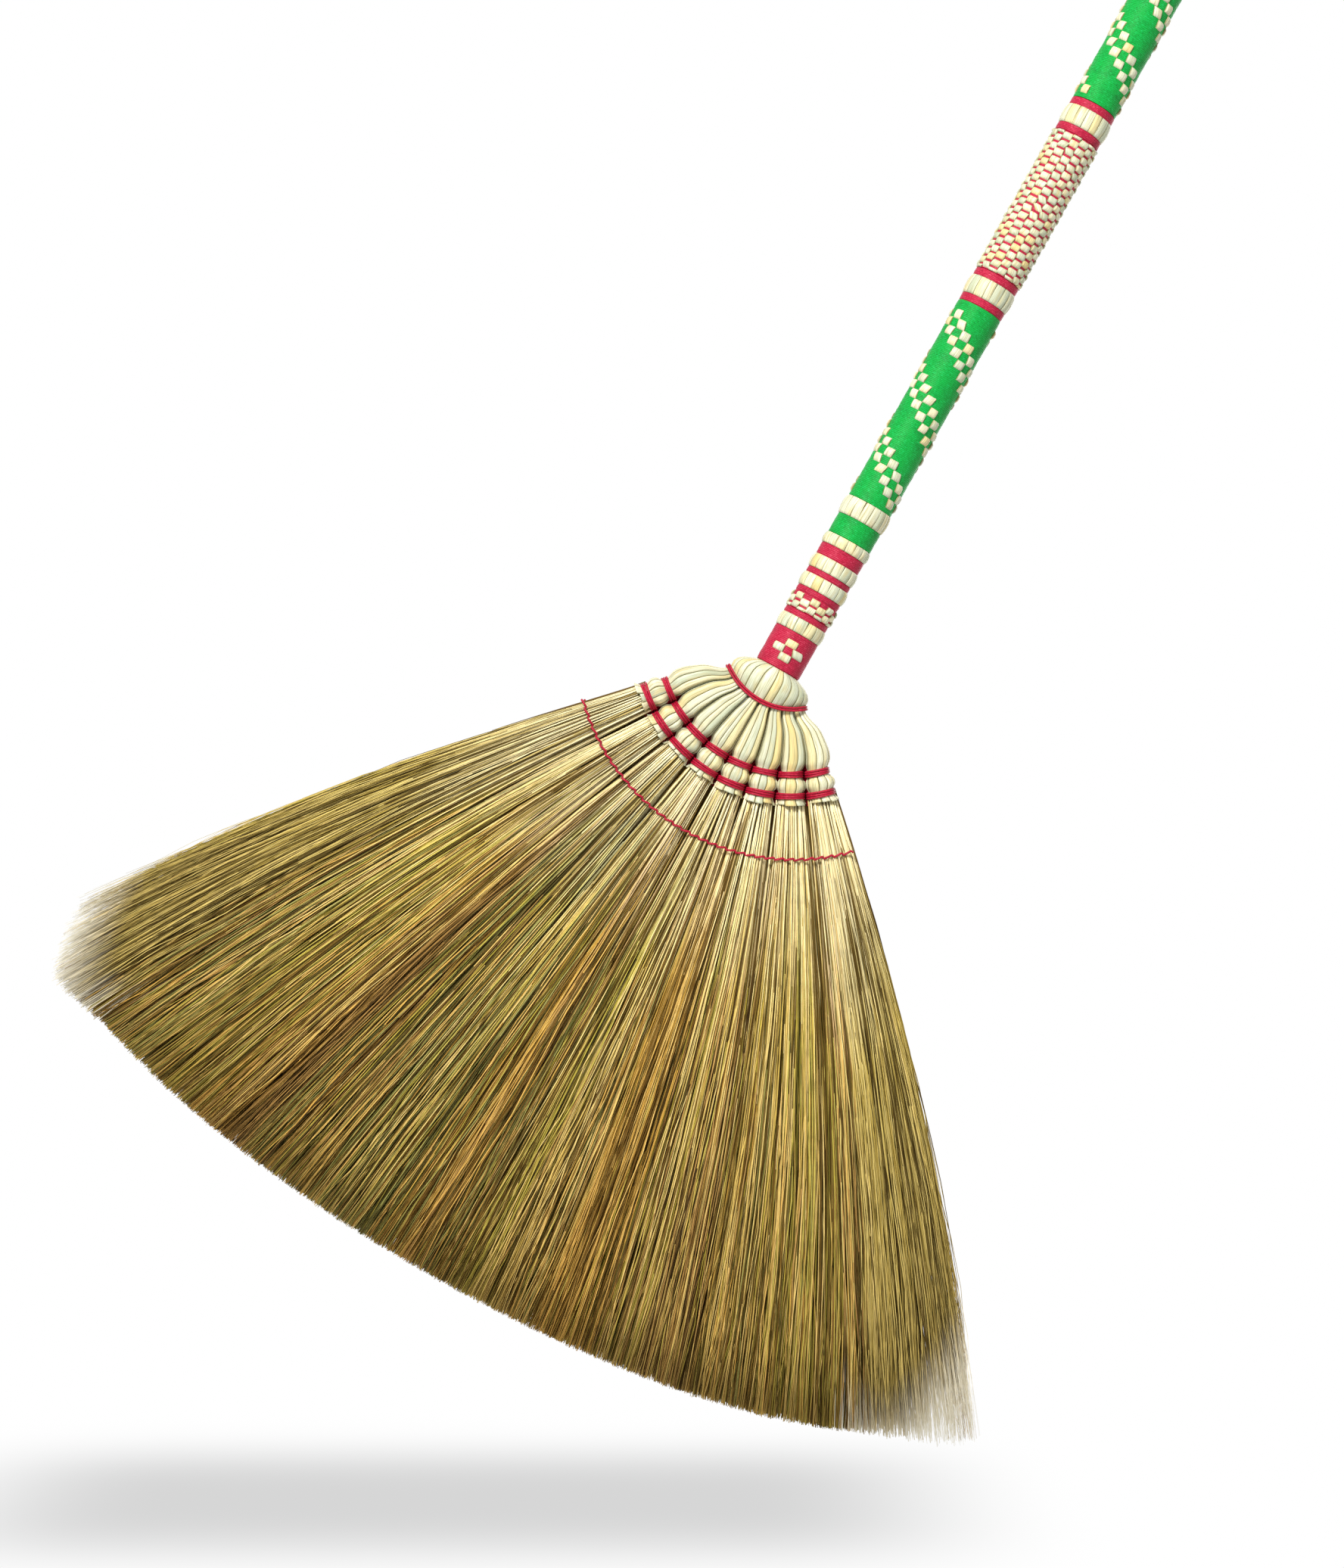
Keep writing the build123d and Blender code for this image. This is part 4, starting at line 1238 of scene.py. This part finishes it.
def photo_camera():
    """Straight on to the fan, rolled so that the handle leans to the right, at the photograph's scale."""
    data = bpy.data.cameras.new("photo_camera")
    data.lens = lens_mm
    data.sensor_fit = "VERTICAL"
    data.sensor_height = sensor_mm
    camera = bpy.data.objects.new("photo_camera", data)
    bpy.context.collection.objects.link(camera)
    distance = image_h * pixel * lens_mm / sensor_mm
    turn = Matrix((photo_right, photo_up, -photo_away)).transposed().to_4x4()
    camera.matrix_world = Matrix.Translation(photo_middle - photo_away * distance) @ turn
    bpy.context.scene.camera = camera


# Floor: a white card, level in the photograph, with a painted soft grey shadow of the broom

card_w = 1.6
card_depth = 0.6
card_drop = 0.341
card_back = 0.05
shadow_middle = -0.105
shadow_flat = 0.125
shadow_end = 0.315
shadow_half_depth = 0.133


def painted_shadow_card():
    """A card under the broom that glows white, grey where the painted shadow lies."""
    centre = photo_middle - photo_up * card_drop + photo_away * card_back
    bpy.ops.mesh.primitive_plane_add(size=1)
    card = bpy.context.object
    card.name = "painted_shadow_card"
    card.data.transform(Matrix.Diagonal((card_w, card_depth, 1, 1)))
    card.data.transform(Matrix((photo_right, photo_away, photo_up)).transposed().to_4x4())
    card.data.transform(Matrix.Translation(centre))
    material = bpy.data.materials.new("white_card_with_painted_shadow")
    material.use_nodes = True
    tree = material.node_tree
    tree.nodes.clear()
    place = add_node(tree, "ShaderNodeTexCoord", {}).outputs["Object"]
    local = add_node(tree, "ShaderNodeVectorMath", {0: place, 1: tuple(centre)}, operation="SUBTRACT")
    side = add_node(tree, "ShaderNodeVectorMath", {0: local, 1: tuple(photo_right)}, operation="DOT_PRODUCT")
    split = add_node(tree, "ShaderNodeSeparateXYZ", {"Vector": local})
    shifted = add_node(tree, "ShaderNodeMath", {0: side, 1: shadow_middle}, operation="SUBTRACT")
    reach = add_node(tree, "ShaderNodeMath", {0: shifted}, operation="ABSOLUTE")
    sideways = add_node(
        tree, "ShaderNodeMapRange",
        {"Value": reach, "From Min": shadow_flat, "From Max": shadow_end, "To Min": 1.0, "To Max": 0.0},
        interpolation_type="SMOOTHERSTEP",
    )
    deep = add_node(
        tree, "ShaderNodeMath", {0: split.outputs["Y"], 1: 1 / shadow_half_depth}, operation="MULTIPLY"
    )
    from_line = add_node(tree, "ShaderNodeMath", {0: deep}, operation="ABSOLUTE")
    cube = add_node(tree, "ShaderNodeMath", {0: from_line, 1: 3.0}, operation="POWER")
    minus = add_node(tree, "ShaderNodeMath", {0: cube, 1: -1.0}, operation="MULTIPLY")
    bell = add_node(tree, "ShaderNodeMath", {0: minus}, operation="EXPONENT")
    # Painted shadow: the card's colour goes grey over a soft band under the broom
    dark = add_node(tree, "ShaderNodeMath", {0: bell, 1: sideways}, operation="MULTIPLY")
    colour = add_node(
        tree, "ShaderNodeMix", {0: dark, 6: paint("#FFFFFF"), 7: paint("#D6D6D6")}, data_type="RGBA"
    )
    glow = add_node(tree, "ShaderNodeEmission", {"Color": colour, "Strength": 1.0})
    add_node(tree, "ShaderNodeOutputMaterial", {"Surface": glow})
    card.data.materials.append(material)


# Light: name, place, size in metres and power in watts of each lamp

lamps = (
    ("key", (-1.1, -1.5, 0.1), 0.5, 60),
    ("fill", (1.3, -1.3, -0.6), 1.2, 8),
    ("back", (0.2, 1.7, 0.0), 1.6, 16),
)
world_light = 0.45


def studio():
    """White surround for the camera and for gloss, even light all round, and a soft key from the left."""
    world = bpy.data.worlds.new("studio")
    bpy.context.scene.world = world
    world.use_nodes = True
    tree = world.node_tree
    ray = add_node(tree, "ShaderNodeLightPath", {}).outputs
    mirrored = add_node(
        tree, "ShaderNodeMath", {0: ray["Is Glossy Ray"], 1: ray["Is Transmission Ray"]}, operation="MAXIMUM"
    )
    seen = add_node(tree, "ShaderNodeMath", {0: ray["Is Camera Ray"], 1: mirrored}, operation="MAXIMUM")
    strength = add_node(tree, "ShaderNodeMapRange", {"Value": seen, "To Min": world_light, "To Max": 1.0})
    connect(tree, tree.nodes["Background"], {"Color": paint("#FFFFFF"), "Strength": strength})
    for name, place, size, power in lamps:
        lamp = bpy.data.lights.new(name, "AREA")
        lamp.size = size
        lamp.energy = power
        holder = bpy.data.objects.new(name, lamp)
        bpy.context.collection.objects.link(holder)
        holder.location = place
        aim = Vector((0, 0, collar_top_z)) - Vector(place)
        holder.rotation_euler = aim.to_track_quat("-Z", "Y").to_euler()


painted_shadow_card()
studio()
photo_camera()
bpy.context.scene.view_settings.view_transform = "Standard"
